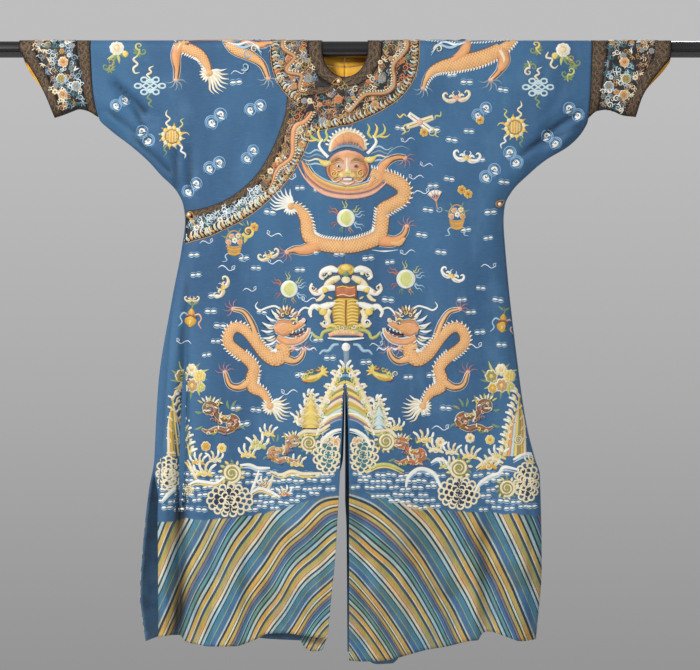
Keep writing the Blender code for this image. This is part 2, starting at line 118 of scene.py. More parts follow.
FLAP_HEM = (
    (38, -3), (88, -8), (134, -14), (170, -12), (205, 4), (240, 14), (293, 15), (330, 9), (350, 5),
    (366, -9), (398, -8), (410, -4))
YOKE = (
    (0, 166), (-28, 164), (-54, 159), (-80, 147), (-104, 128), (-126, 101), (-143, 70), (-156, 42),
    (-165, 18), (-171, 0))
OUTLINES = {  # of each face: its slit or inner edge, its side and its hem
    (LEFT, FRONT): (LEFT_FRONT_SLIT, LEFT_SIDE, LEFT_FRONT_HEM),
    (LEFT, BACK): (LEFT_BACK_SLIT, LEFT_SIDE, LEFT_BACK_HEM),
    (RIGHT, FRONT): (INNER_FRONT_EDGE, INNER_FRONT_SIDE, INNER_FRONT_HEM),
    (RIGHT, BACK): (RIGHT_BACK_SLIT, RIGHT_SIDE, RIGHT_BACK_HEM),
    (FLAP, FRONT): (FLAP_SLIT, FLAP_SIDE, FLAP_HEM),
}

# The overlap's curved band: places across it, as (x, z) of its free edge and of its lower edge
FLAP_BAND = (
    (0, -63, 0, -171), (21, -69, 15, -173), (34, -82, 27, -176), (60, -84, 42, -179),
    (92, -86, 60, -184), (125, -100, 75, -199), (131, -140, 86, -220), (142, -175, 95, -239),
    (155, -209, 106, -259), (173, -244, 123, -283), (194, -276, 143, -307), (225, -307, 174, -338),
    (260, -331, 216, -370), (295, -346, 262, -395), (326, -354, 306, -415), (336, -355, 325, -420),
    (344, -356, 341, -425), (350, -357, 353, -428))
LEFT_CUFF_MOUTH = (
    (0, 719), (-19, 717), (-39, 702), (-58, 686), (-89, 664), (-113, 652), (-149, 642))
LEFT_CUFF_FOOT = ((0, -152), (0.17, -136), (0.36, -133), (0.46, -135), (0.74, -146), (1, -149))
RIGHT_CUFF_MOUTH = ((0, 718), (-18, 708), (-69, 677), (-107, 658), (-151, 641))
RIGHT_CUFF_FOOT = ((0, -150), (0.23, -135), (0.39, -132), (0.55, -137), (0.85, -147), (1, -151))
CUFFS = {LEFT: (LEFT_SIDE, LEFT_CUFF_MOUTH, LEFT_CUFF_FOOT),
         RIGHT: (RIGHT_SIDE, RIGHT_CUFF_MOUTH, RIGHT_CUFF_FOOT)}
CUFFS[FLAP] = CUFFS[RIGHT]

# Folds: (x, z) of the upper end and of the lower end, half width, depth. Below 0 it is a ridge
LEFT_FRONT_FOLDS = (
    (560, -95, 440, -215, 15, 7), (520, -140, 470, -235, 13, -5), (322, -940, 318, -1330, 26, 18),
    (292, -980, 288, -1330, 13, -7), (180, -760, 205, -1330, 52, 8), (90, -800, 95, -1330, 40, -6),
    (372, -900, 385, -1330, 26, -6), (535, -90, 445, -165, 9, 2.5), (500, -30, 420, -215, 17, 2),
    (455, -60, 380, -290, 20, -1.8), (400, -190, 350, -330, 13, 2), (300, -400, 332, -880, 30, 2.5),
    (62, -330, 78, -742, 24, 1.8), (236, -500, 214, -900, 32, -2.4),
    (140, -250, 190, -560, 36, 1.6), (402, -800, 408, -1290, 9, 3), (252, -1000, 246, -1330, 14, 4),
    (132, -1030, 126, -1330, 13, -3.5), (38, -940, 47, -1330, 12, 3),
    (352, -1050, 346, -1330, 9, -2), (70, -1090, 66, -1330, 10, -2.5),
    (222, -1120, 216, -1330, 9, -3), (366, -420, 372, -700, 8, 2.2), (20, -760, 12, -1100, 14, -2),
    (535, -130, 448, -181, 8, 6), (490, -155, 392, -232, 8, 6), (540, -160, 417, -215, 8, 5),
    (500, -118, 430, -168, 9, -3),
)
INNER_FRONT_FOLDS = (
    (520, -60, 430, -160, 17, 5), (420, -150, 395, -300, 15, 3), (355, -200, 345, -320, 14, 2),
    (470, -110, 400, -210, 22, -4), (540, -40, 470, -120, 10, 2), (500, -110, 432, -235, 11, 2.4),
    (405, -100, 372, -240, 12, 1.6), (330, -120, 352, -300, 16, 1.5),
    (250, -60, 300, -220, 26, 1.2), (140, -120, 152, -200, 12, 2.4), (355, -900, 362, -1330, 22, 8),
    (525, -57, 440, -139, 9, 8), (474, -108, 428, -205, 8, 6), (500, -62, 420, -132, 9, -3),
    (372, -200, 374, -304, 8, 7), (340, -196, 342, -304, 8, 6), (540, -120, 436, -201, 8, 6),
    (484, -176, 388, -268, 8, 6),
)
FLAP_FOLDS = (
    (350, -560, 374, -1330, 15, 12), (312, -620, 318, -1330, 24, -5),
    (392, -700, 396, -1330, 11, -4), (240, -820, 262, -1330, 40, -6),
    (150, -860, 165, -1330, 44, 7), (80, -900, 85, -1330, 32, -5), (346, -450, 352, -760, 8, 3.5),
    (300, -450, 286, -760, 28, -1.8), (120, -420, 152, -820, 40, 1.8),
    (206, -960, 214, -1330, 15, 4), (284, -930, 290, -1330, 12, 4.5),
    (112, -1040, 122, -1330, 13, 3.5), (52, -980, 60, -1330, 12, -3),
    (232, -1080, 238, -1330, 9, -3), (182, -1090, 188, -1330, 10, -3),
    (330, -1000, 338, -1330, 8, -4), (22, -600, 34, -742, 16, 1.4), (200, -300, 225, -560, 26, 1.2),
    (382, -900, 384, -1320, 6, 2.4), (352, -500, 367, -1330, 10, 10), (358, -560, 352, -900, 7, 3),
)
BACK_FOLDS = (
    (330, -640, 352, -1330, 20, 10), (235, -760, 250, -1330, 38, -7),
    (140, -820, 152, -1330, 42, 8), (480, -90, 400, -230, 18, 3), (395, -880, 405, -1330, 16, -5),
    (520, -40, 452, -140, 13, 2), (430, -70, 350, -310, 26, 2.2), (88, -260, 108, -760, 38, 1.8),
    (262, -440, 286, -1000, 30, -2.4), (62, -900, 72, -1330, 18, 3.5),
    (196, -880, 204, -1330, 15, -3), (298, -980, 304, -1330, 13, 4),
    (378, -420, 384, -820, 10, 2.6), (30, -1020, 26, -1330, 12, -2.5),
    (170, -1080, 176, -1330, 10, 3),
)
FACE_FOLDS = {LEFT: LEFT_FRONT_FOLDS, RIGHT: INNER_FRONT_FOLDS, FLAP: FLAP_FOLDS}
SEAM_TOP, SEAM_HALF_WIDTH, SEAM_DIP = -171.0, 2.2, 0.9  # of the seam down the middle
BESIDE_SEAM, FREE_OF_SEAM = 4, 70  # the reach from which waves begin, and over which they grow
LOOSENESS = 1.4  # how far the cloth lies off an even surface
LOOSE_FROM, LOOSE_AT = -30, -150
SKIRT_WAVES = 1.4
SKIRT_FROM, SKIRT_AT = -500, -900
# Painted shade along the creases, standing in for the shadow down the folds' valleys: how wide, how
# wandering and how dark it is laid
SHARP, DEEP = 10, 3  # the half width up to which a fold is a crease, and its least depth
CREASE_WIDTH = 0.62  # of the fold's half width
CREASE_WANDER = 1.6
BLACK_DEPTH = 7  # the depth of a fold whose painted crease shade is at full strength
DARKEST = 1.35
LONG_PLEAT, PLEAT_OPENS = 500, 1.5  # a longer crease opens towards the hem, by this share


def smoothed(t):
    t = np.clip(t, 0.0, 1.0)
    return t * t * (3 - 2 * t)


def below(z, high, low):
    """0 above the high height and 1 below the low one, with a smooth change between them."""
    return smoothed((high - z) / (high - low))


def along(table, at):
    """The second column of a table at values of its first, on a smooth line through its points."""
    rows = np.array(sorted(pair[:2] for pair in table), float)
    x, y = rows.T
    slope = np.diff(y) / np.diff(x)
    turn = np.zeros(len(x))
    turn[0], turn[-1] = slope[0], slope[-1]
    same = slope[:-1] * slope[1:] > 0
    turn[1:-1][same] = 2 * (slope[:-1] * slope[1:])[same] / (slope[:-1] + slope[1:])[same]
    at = np.clip(np.asarray(at, float), x[0], x[-1])
    k = np.clip(np.searchsorted(x, at) - 1, 0, len(x) - 2)
    width = x[k + 1] - x[k]
    t = (at - x[k]) / width
    rise = (y[k + 1] - y[k]) * t * t * (3 - 2 * t)
    return y[k] + rise + width * t * (1 - t) * ((1 - t) * turn[k] - t * turn[k + 1])


YOKE_SQUARED = tuple((z, x * x) for z, x in YOKE)


def yoke_edge(z, by=0.0):
    """The distance from the centre of the yoke's outer edge, moved outwards by a little."""
    low, wide = -YOKE[-1][0] + by, YOKE[0][1]
    inside = np.maximum(along(YOKE_SQUARED, np.asarray(z) * -YOKE[-1][0] / low), 0)
    return np.sqrt(inside) * (1 + by / wide)


def distance_to(x, z, start, end):
    """The distance to a straight run, and the share of the run at which it is nearest."""
    run_x, run_z = end[0] - start[0], end[1] - start[1]
    t = np.clip(((x - start[0]) * run_x + (z - start[1]) * run_z) / (run_x**2 + run_z**2), 0, 1)
    return np.hypot(x - start[0] - t * run_x, z - start[1] - t * run_z), t


def closing_line(side, mouth, foot):
    """Where front and back are sewn together: under the cuff, under the arm and down the side."""
    outer, inner = mouth[-1][1], float(along(side, foot[0][1]))
    cuff = [(inner + (outer - inner) * share, z) for share, z in reversed(foot)]
    down = np.linspace(foot[0][1] - 4, HEM, 60)
    return cuff + list(zip(along(side, down), down))


CLOSING = {half: closing_line(*cuff) for half, cuff in CUFFS.items()}


def rounded_off(edge_depth, full_depth, x, z, closing):
    """A depth that falls to edge_depth where front and back are sewn together."""
    nearest = np.full(np.shape(full_depth), 1e9)
    for a, b in zip(closing, closing[1:]):
        nearest = np.minimum(nearest, distance_to(x, z, a, b)[0])
    short = np.clip(1 - nearest / SIDE_ROUNDING, 0, 1)
    return full_depth + (edge_depth - full_depth) * short * short


def hanging_depth(x, z, folds, side):
    """A face's depth away from its seams: the rod's, the hem's swell, the folds and small waves."""
    depth = TOP_RADIUS + HEM_SWELL * below(z, SWELL_FROM, HEM)
    for x_high, z_high, x_low, z_low, half_width, fold_depth in folds:
        across, t = distance_to(x, z, (x_high, z_high), (x_low, z_low))
        depth = depth - fold_depth * smoothed(t / FOLD_FADE) * np.exp(-((across / half_width) ** 2))
    waves = np.sin(x / 41 + z / 97 + side) * np.sin(z / 66 - x / 130 + 2 * side)
    waves = waves + 0.5 * np.sin(x / 17 + side) * np.sin(z / 53 + x / 61)
    dip = SEAM_DIP * np.exp(-((x / SEAM_HALF_WIDTH) ** 2)) * below(z, SEAM_TOP, SEAM_TOP - 30)
    free = smoothed((np.abs(x) - BESIDE_SEAM) / FREE_OF_SEAM)
    skirt = SKIRT_WAVES * np.sin(x / 23 + z / 400 + side) * below(z, SKIRT_FROM, SKIRT_AT)
    return depth - (LOOSENESS * (0.5 + waves) * below(z, LOOSE_FROM, LOOSE_AT) + skirt) * free - dip


def painted_crease_shade(places):
    """How much painted shade lies along the creases at each place, for the overlap's, the front's
    and the back's folds.
    """
    x, z = np.abs(places[..., 0]), places[..., 2]
    front = FACE_FOLDS[RIGHT if places[..., 0].mean() < 0 else LEFT]
    crease_shade = []
    for folds in (FLAP_FOLDS, front, BACK_FOLDS):
        dark = np.zeros(x.shape)
        for x_high, z_high, x_low, z_low, half_width, depth in folds:
            if half_width <= SHARP and depth >= DEEP:
                across, t = distance_to(x, z, (x_high, z_high), (x_low, z_low))
                across = across + CREASE_WANDER * np.sin(z / 19 + x / 27)
                opened = 1 + PLEAT_OPENS * t * (z_high - z_low > LONG_PLEAT)
                reach = CREASE_WIDTH * half_width * opened
                faint = smoothed(t / FOLD_FADE) * (0.75 + 0.25 * np.sin(z / 33 + x / 14))
                full = faint * min(DARKEST, depth / BLACK_DEPTH)
                dark = np.maximum(dark, full * np.exp(-((across / reach) ** 2)))
        crease_shade.append(dark)
    return crease_shade


def tuck(z):
    """How far the inner front hangs behind the overlap that covers it."""
    deep = (DEEP_TUCK - TUCK) * below(z, TUCK_DEEPENS_FROM, DEEP_TUCK_AT)
    return TUCK * np.clip(z / TUCKED_AT, 0, 1) + deep


def depth_of(half, face, x, z):
    """How far a face of one half stands from the robe's middle plane."""
    if face == BACK:
        full, edge = hanging_depth(x, z, BACK_FOLDS, 4 + SIGN[half]), SEAM_DEPTH
    else:
        full = hanging_depth(x, z, FACE_FOLDS[half], 1 if half == LEFT else 2)
        spread = VENT_SPREAD * below(z, VENT_TOP, HEM)
        edge = (FLAP_EDGE_DEPTH if half == FLAP else SEAM_DEPTH) + spread
        if half == RIGHT:
            full, edge = full - tuck(z), SEAM_DEPTH + spread / 2
    return rounded_off(edge, full, x, z, CLOSING[half])


def draped(half, face, x, at):
    """Points of the cloth, x from the centre: at an angle round the rod, or at a height."""
    x = np.asarray(x, float)
    if face == TURN:
        y = np.full(x.shape, -TOP_RADIUS * math.sin(at))
        z = np.full(x.shape, TOP_RADIUS * math.cos(at))
    else:
        z = np.broadcast_to(np.asarray(at, float), x.shape)
        y = face * depth_of(half, face, x, z)
    return np.stack([SIGN[half] * x, y, z], axis=-1)


def keep(name, mesh, *finishes):
    """An object for a finished mesh. It goes with the robe's one body."""
    thing = bpy.data.objects.new(name, mesh)
    for finish in finishes:
        mesh.materials.append(finish)
    bpy.context.scene.collection.objects.link(thing)
    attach(thing, "root")
    return thing


def grid_mesh(name, places, marks, gone=None):
    """A mesh of rows of points. places is rows x columns x 3, in millimetres. marks maps a UV map's
    name to rows x columns x 2. gone says which of the grid's faces are left out."""
    down, across = places.shape[0] - 1, places.shape[1] - 1
    grid = bmesh.new()
    bmesh.ops.create_grid(grid, x_segments=across, y_segments=down, size=0.5)
    mesh = bpy.data.meshes.new(name)
    grid.to_mesh(mesh)
    grid.free()
    flat = np.empty(len(mesh.vertices) * 3, np.float32)
    mesh.vertices.foreach_get("co", flat)
    flat = flat.reshape(-1, 3)
    column = np.rint((flat[:, 0] + 0.5) * across).astype(int)
    row = np.rint((0.5 - flat[:, 1]) * down).astype(int)
    mesh.vertices.foreach_set("co", (places[row, column] * MM).astype(np.float32).ravel())
    corner = np.empty(len(mesh.loops), np.int32)
    mesh.loops.foreach_get("vertex_index", corner)
    for label, values in marks.items():
        layer = mesh.uv_layers.new(name=label)
        layer.data.foreach_set("uv", values[row, column][corner].astype(np.float32).ravel())
    if gone is not None and gone.any():
        cut = bmesh.new()
        cut.from_mesh(mesh)
        cut.verts.ensure_lookup_table()
        lost = []
        for face in cut.faces:
            spots = [vertex.index for vertex in face.verts]
            if gone[row[spots].min(), column[spots].min()]:
                lost.append(face)
        bmesh.ops.delete(cut, geom=lost, context="FACES")
        cut.to_mesh(mesh)
        cut.free()
    mesh.shade_smooth()
    return mesh


def turned(half, columns):
    """Columns from the centre outwards, put in the order that runs towards +X."""
    return columns if SIGN[half] > 0 else columns[..., ::-1, :]


TURN_ROWS = np.linspace(-math.pi / 2, math.pi / 2, 21)
EDGE_LINES = [0, 0.004, 0.010, 0.018, 0.030]  # shares of the width, close beside an edge
BODY_LINES = np.concatenate([EDGE_LINES, np.linspace(0.045, 1, 78)])
OVERLAP_LINES = np.concatenate([EDGE_LINES, np.linspace(0.045, 0.93, 76), np.linspace(0.945, 1, 8)])
QUARTER_TURN = np.linspace(0, math.pi / 2, 25)[1:]
YOKE_STEPS = YOKE[-1][0] * np.sin(QUARTER_TURN)
BODY_DROPS = np.concatenate([YOKE_STEPS - HALF_GAP, np.linspace(-180, HEM, 146)])


def hemmed(z, drop):
    """A height moved down with the hem's outline, by all of the drop at the hem itself."""
    return z - drop * below(z, HEM_SHAPED_FROM, HEM)


def over_the_rod(steps):
    """Each face and place of a piece that runs up the back, round the rod and down the front."""
    return ([(BACK, at) for at in steps[::-1]] + [(TURN, at) for at in TURN_ROWS]
            + [(FRONT, at) for at in steps])


def body(half):
    """Half of the robe in one length: back, sleeve and front, round the collar's place."""
    rows = []
    for face, at in over_the_rod(BODY_DROPS):
        slit, side, hem = OUTLINES[half, face or BACK]
        z = at if face else 0.0
        inner = along(slit, z) + HALF_GAP
        if z >= YOKE[-1][0] - HALF_GAP:
            inner = yoke_edge(z, HALF_GAP)
        inner = max(float(inner), HALF_GAP)
        x = inner + (float(along(side, z)) - inner) * BODY_LINES
        rows.append(draped(half, face, x, hemmed(z, along(hem, x)) if face else at))
    places = turned(half, np.array(rows))
    _, front, back = painted_crease_shade(places)
    return places, creased(np.where(places[..., 1] < 0, front, back))


def creased(crease_shade):
    """A map named creases: how much painted shade lies along a crease at each place."""
    return {"creases": np.stack([crease_shade, crease_shade * 0], axis=-1)}


def overlap():
    """The outer front that crosses to the wearer's right, below its curved band."""
    slit, side, hem = OUTLINES[FLAP, FRONT]
    top = [(low_x, low_z) for _, _, low_x, low_z in FLAP_BAND]
    high = along(top, OVERLAP_LINES * top[-1][0])
    rows = []
    for down in np.linspace(0, 1, 140):
        z = high + (HEM - high) * down
        inner = along(slit, z) + HALF_GAP
        x = inner + (along(side, z) - inner) * OVERLAP_LINES
        rows.append(draped(FLAP, FRONT, x, hemmed(z, along(hem, x))))
    places = turned(FLAP, np.array(rows))
    return places, creased(painted_crease_shade(places)[0])


BAND_STEPS = [math.dist(a[:2], b[:2]) / 2 + math.dist(a[2:], b[2:]) / 2
              for a, b in zip(FLAP_BAND, FLAP_BAND[1:])]
BAND_LENGTHS = np.concatenate([[0], np.cumsum(BAND_STEPS)])  # along it, to each of its places


def on_band(run, start, end, share):
    """(x, z) on the overlap's curved band, a distance along it and a share of the way from start to
    end, which are distances from its free edge. Without an end it is the overlap's own edge."""
    top_x, top_z, low_x, low_z = (
        along(tuple(zip(BAND_LENGTHS, column)), run) for column in zip(*FLAP_BAND))
    width = np.hypot(low_x - top_x, low_z - top_z)
    far = width - SEAM_GAP if end is None else end
    t = (start + (far - start) * share) / width
    return top_x + (low_x - top_x) * t, top_z + (low_z - top_z) * t


def curved_band(start, end, lines):
    """A strip along the overlap's curved edge."""
    runs = np.unique(np.concatenate([np.linspace(0, BAND_LENGTHS[-1], 110), BAND_LENGTHS]))
    shares = np.linspace(0, 1, lines)
    rows = []
    for share in shares:
        x, z = on_band(runs, start, end, share)
        rows.append(draped(FLAP, FRONT, x + HALF_GAP, z))
    marks = np.stack(np.broadcast_arrays(shares[:, None], runs[None, :] / PATTERN_RUN), axis=-1)
    return np.array(rows)[:, ::-1], {"along": marks[:, ::-1]}


RING_WIDTH = 40.0  # about the yoke's, at its narrowest


def oval_edge(half_width, drop, turn):
    return half_width * np.cos(turn), -drop * np.sin(turn)


def ring_point(face, turn, share, binding):
    """(x, z) on the neck's binding, or on the yoke round it, at a quarter turn's angle."""
    drop = NECK_DROP_FRONT if face == FRONT else NECK_DROP_BACK
    bound = oval_edge(NECK_HALF_WIDTH + NECK_BINDING_SIDE, drop + NECK_BINDING_FOOT, turn)
    if binding:
        near, far = oval_edge(NECK_HALF_WIDTH, drop, turn), bound
        share = share * (1 - HALF_GAP / NECK_BINDING_FOOT)
    else:
        z = YOKE[-1][0] * np.sin(turn)
        near, far = bound, (yoke_edge(z), z)
        margin = HALF_GAP / RING_WIDTH
        share = margin + share * (1 - 2 * margin)
    return near[0] + (far[0] - near[0]) * share, near[1] + (far[1] - near[1]) * share


def ringed(half, rows, shares):
    """A strip's places from its rows, and its map named along: the share across, and the run."""
    places = np.array(rows)
    run = np.linalg.norm(np.diff(places.mean(axis=1), axis=0), axis=1).cumsum()
    run = np.concatenate([[0], run]) / PATTERN_RUN
    marks = np.stack(np.broadcast_arrays(shares[None, :], run[:, None]), axis=-1)
    return turned(half, places), {"along": turned(half, marks)}


def collar_ring(half, lines, binding):
    """Half of a ring round the neck, from the back's centre over the shoulder to the front's."""
    shares = np.linspace(0, 1, lines)
    rows = []
    for face, at in over_the_rod(QUARTER_TURN):
        x, z = ring_point(face, at if face else 0.0, shares, binding)
        rows.append(draped(half, face, np.maximum(x, HALF_GAP), z if face else at))
    return ringed(half, rows, shares)


def cuff_place(which, face, share, z_share):
    """(x, z) on a cuff, a share of the way out to its opening and a share of the way down."""
    side, mouth, foot = CUFFS[which]
    z = z_share * along(foot, share)
    opening = along(mouth, z)
    if face == BACK:
        from_proud = (z - BACK_CUFF_PROUD_AT) / BACK_CUFF_PROUD_OVER
        opening = opening + BACK_CUFF_PROUD * np.exp(-(from_proud**2))
    inner = along(side, z)
    return inner + (opening - inner) * share, z


def cuff_strip(which, start, end, lines):
    """A strip round a cuff, between two shares of the way from the sleeve seam to the opening."""
    shares = np.linspace(0, 1, lines)
    rows = []
    for face, at in over_the_rod(np.linspace(0, 1, 17)[1:]):
        x, z = cuff_place(which, face, start + (end - start) * shares, at if face else 0.0)
        x = x + HALF_GAP * (1 - 2 * shares)
        rows.append(draped(which, face, x, z if face else at))
    return ringed(which, rows, shares)


def linear(colour):
    """A colour that a maker gives as 0 to 255, as light."""
    light = (((c / 255 + 0.055) / 1.055) ** 2.4 if c > 10 else c / 255 / 12.92 for c in colour)
    return (*light, 1.0)


class Wire:
    """A socket's output in a material, on which Python's operators add Math nodes."""

    def __init__(self, finish, socket):
        self.finish, self.socket = finish, socket

    def maths(self, operation, *others):
        return self.finish.node("ShaderNodeMath", (self, *others), operation=operation)

    def __add__(self, other):
        return self.maths("ADD", other)

    def __sub__(self, other):
        return self.maths("SUBTRACT", other)

    def __rsub__(self, other):
        return self.finish.node("ShaderNodeMath", (other, self), operation="SUBTRACT")

    def __mul__(self, other):
        return self.maths("MULTIPLY", other)

    def __truediv__(self, other):
        return self.maths("DIVIDE", other)

    def __rtruediv__(self, other):
        return self.finish.node("ShaderNodeMath", (other, self), operation="DIVIDE")

    def __pow__(self, other):
        return self.maths("POWER", other)

    def __lt__(self, other):
        return self.maths("LESS_THAN", other)

    def __gt__(self, other):
        return self.maths("GREATER_THAN", other)

    __radd__, __rmul__ = __add__, __mul__

    def least(self, other):
        return self.maths("MINIMUM", other)

    def most(self, other):
        return self.maths("MAXIMUM", other)

    def size(self):
        return self.maths("ABSOLUTE")

    def wave(self):
        return self.maths("SINE")

    def part(self):
        return self.maths("FRACT")

    def whole(self):
        return self.maths("FLOOR")

    def step(self, low, high):
        """0 below low and 1 above high, with a smooth change between them."""
        sockets = {"Value": self, "From Min": low, "From Max": high}
        return self.finish.node("ShaderNodeMapRange", sockets, interpolation_type="SMOOTHSTEP")


class Finish:
    """A material made of nodes. sockets are the shader's own constants."""

    def __init__(self, name, **sockets):
        self.material = bpy.data.materials.new(name)
        self.material.use_nodes = True
        self.tree = self.material.node_tree
        self.shader = self.tree.nodes["Principled BSDF"]
        for socket, value in sockets.items():
            self.shader.inputs[socket.replace("_", " ")].default_value = value

    def node(self, kind, inputs=(), output=0, stops=None, **settings):
        """Adds a node. Its settings go first, then its sockets' values or links."""
        made = self.tree.nodes.new(kind)
        for setting, value in settings.items():
            setattr(made, setting, value)
        if stops:
            ramp = made.color_ramp
            ramp.interpolation = "CONSTANT"
            while len(ramp.elements) < len(stops):
                ramp.elements.new(1.0)
            for element, (place, colour) in zip(ramp.elements, stops):
                element.position, element.color = place, colour
        pairs = inputs.items() if isinstance(inputs, dict) else enumerate(inputs)
        for socket, value in pairs:
            self.join(value, made.inputs[socket])
        return Wire(self, made.outputs[output])

    def join(self, value, socket):
        if isinstance(value, Wire):
            self.tree.links.new(value.socket, socket)
        else:
            socket.default_value = value

    def give(self, **sockets):
        for socket, value in sockets.items():
            self.join(value, self.shader.inputs[socket.replace("_", " ")])
        return self.material

    def place(self):
        """Object coordinates in millimetres, as three wires."""
        here = self.node("ShaderNodeTexCoord", output="Object")
        split = self.node("ShaderNodeSeparateXYZ", (here,))
        return [Wire(self, out) * 1000.0 for out in split.socket.node.outputs]

    def mark(self, label):
        """A UV map's two values."""
        split = self.node("ShaderNodeSeparateXYZ", (self.node("ShaderNodeUVMap", uv_map=label),))
        return [Wire(self, out) for out in split.socket.node.outputs][:2]

    def grain(self, size, detail, stretch=(1, 1, 1), rough=0.5):
        """Noise whose lumps are about this many millimetres long."""
        here = self.node("ShaderNodeTexCoord", output="Object")
        scale = tuple(1000 / (size * s) for s in stretch)
        place = self.node("ShaderNodeMapping", {"Vector": here, "Scale": scale})
        sockets = {"Vector": place, "Scale": 1.0, "Detail": detail, "Roughness": rough}
        return self.node("ShaderNodeTexNoise", sockets)

    def blend(self, share, a, b, blend_type="MIX"):
        """A colour between a and b, each another node's or 0 to 255."""
        a, b = (linear(colour) if isinstance(colour, tuple) else colour for colour in (a, b))
        return self.node("ShaderNodeMix", {0: share, 6: a, 7: b}, output=2, data_type="RGBA",
                         blend_type=blend_type)

    def shaded(self, colour, value):
        """A colour times a value."""
        grey = self.node("ShaderNodeCombineXYZ", (value, value, value))
        return self.node("ShaderNodeVectorMath", (colour, grey), operation="MULTIPLY")

    def ramp(self, value, stops):
        """A constant colour ramp of (width, colour), whose widths add up to 1."""
        ends = np.cumsum([0] + [width for width, _ in stops])
        stops = [(float(end), linear(colour)) for end, (_, colour) in zip(ends, stops)]
        return self.node("ShaderNodeValToRGB", (value,), stops=stops)

    def bump(self, height, strength, distance):
        sockets = {"Height": height, "Strength": strength, "Distance": distance * MM}
        return self.node("ShaderNodeBump", sockets)


# Dyes, as 0 to 255
BLUE, DEEP_BLUE, FADED_BLUE = (52, 98, 136), (41, 82, 119), (80, 122, 154)
GOLD, CREAM, MAUVE, OLIVE = (192, 162, 84), (206, 204, 180), (118, 108, 124), (168, 160, 84)
OLD_YELLOW, SEA_GREEN, DUSK, PEACH = (182, 160, 84), (92, 146, 140), (52, 66, 94), (202, 154, 104)
STRIPE_BLUE, TEAL, ICE, NAVY = (62, 106, 142), (66, 120, 142), (164, 190, 192), (34, 50, 70)
LIME = (150, 156, 90)

# The slanting stripes above the hem: share of two stripes' width, dye. They start at a gold one
STRIPES = (
    (0.056, GOLD), (0.010, NAVY), (0.026, CREAM), (0.024, NAVY), (0.042, OLD_YELLOW), (0.012, NAVY),
    (0.032, MAUVE), (0.010, NAVY), (0.052, STRIPE_BLUE), (0.012, ICE), (0.022, NAVY),
    (0.042, SEA_GREEN), (0.028, NAVY), (0.046, ICE), (0.024, NAVY), (0.058, GOLD), (0.012, CREAM),
    (0.040, DUSK), (0.012, LIME), (0.048, OLIVE), (0.026, PEACH), (0.010, NAVY), (0.036, CREAM),
    (0.028, NAVY), (0.042, ICE), (0.012, NAVY), (0.080, TEAL), (0.012, LIME), (0.074, STRIPE_BLUE),
    (0.012, MAUVE), (0.024, ICE), (0.036, NAVY),
)
FIRST_STRIPE, STRIPE_WIDTH, STRIPES_TOP = -987.6, 81.4, -962.0  # beside the slit, on the left


def stripe_lines(finish, x, z):
    """How far a place is down the stripes, in pairs of them, and how far below their top."""
    on_right = x < -2.0
    away = (x.size() - 10.0 - on_right * 5.0).most(0.0)
    fall = away * 0.3 + away * away * 0.0035
    drift = (finish.grain(120, 1.0) - 0.5) * 16.0 + (x * 0.052 + z * 0.021).wave() * 3.4
    first = FIRST_STRIPE - on_right * 7.2 - fall
    phase = (first - z + drift) / (STRIPE_WIDTH + away * 0.26)
    top = STRIPES_TOP - on_right * 15.0 - away.least(190.0) * 0.22 - away * 0.055
    ragged = (finish.grain(30, 2.0) - 0.5) * 18.0
    return phase / 2.0, top + ragged - z


def blue_silk():
    """Blue silk with its faded places, woven rib and slubs. Couched stripes cover its foot. It
    carries painted shade down its creases, and its stripes carry painted shade on the wearer's left
    half.
    """
    made = Finish("blue_silk_cloth", Specular_IOR_Level=0.35, Sheen_Weight=0.18,
                  Sheen_Roughness=0.45)
    x, _, z = made.place()
    faded, patchy = made.grain(210, 3.0, (1, 1, 2.4)), made.grain(40, 4.0, (1, 1, 2.0))
    slubs = made.grain(3.2, 2.0, (7, 7, 0.35))
    colour = made.blend(faded.step(0.35, 0.68), DEEP_BLUE, BLUE)
    colour = made.blend(patchy.step(0.48, 0.78) * 0.34, colour, FADED_BLUE)
    colour = made.blend((slubs - 0.5).size() * 0.55, colour, (118, 150, 172))
    rib = (z * 4.2 + slubs * 5.0).wave()
    thread = (x * 5.0).wave()
    height = rib * 0.5 + thread * 0.3 + slubs * 1.4 + made.grain(34, 3.0, (1, 1, 2.2)) * 8.0
    worn = made.grain(9, 5.0, rough=0.7).step(0.66, 0.78) * patchy.step(0.5, 0.62)
    colour = made.blend(worn * 0.35, colour, (150, 170, 182))
    rough = 0.52 + patchy * 0.16
    lines, depth = stripe_lines(made, x, z)
    striped = made.ramp(lines.part(), STRIPES)
    stitches = made.grain(1.6, 2.0, (1, 1, 9))
    stitches = stitches + ((x * 1.3 + z * 0.9) * 1.5).wave() * 0.16
    for lumps, low, high, tint in (
            (58, 0.42, 0.66, (255, 214, 160)), (74, 0.46, 0.70, (186, 222, 255))):
        tinted = made.grain(lumps, 2.0).step(low, high) * 0.55
        striped = made.blend(tinted, striped, tint, "MULTIPLY")
    couched = (lines * 60.0).part().step(0.0, 0.22)
    # Painted shade: the stripes are darker on the wearer's left half, which is to the right seen
    # from the front
    striped = made.shaded(striped, 0.55 + stitches * 0.60 + couched * 0.20 - (x > 0.0) * 0.15)
    striped = made.blend(patchy.step(0.45, 0.8) * 0.22, striped, (120, 138, 150))
    where = depth.step(-2.0, 2.0)
    colour = made.blend(where, colour, striped)
    height = height + where * (stitches * 2.2 + couched * 1.6)
    rough = rough - where * 0.08
    # Painted shade down the creases, read from the map named creases, a little uneven with the
    # patchy fading
    crease_shade, _ = made.mark("creases")
    colour = made.shaded(colour, (1.0 - crease_shade * (0.62 + patchy * 0.3)).most(0.06))
    return made.give(Base_Color=colour, Roughness=rough, Normal=made.bump(height, 0.35, 0.5))


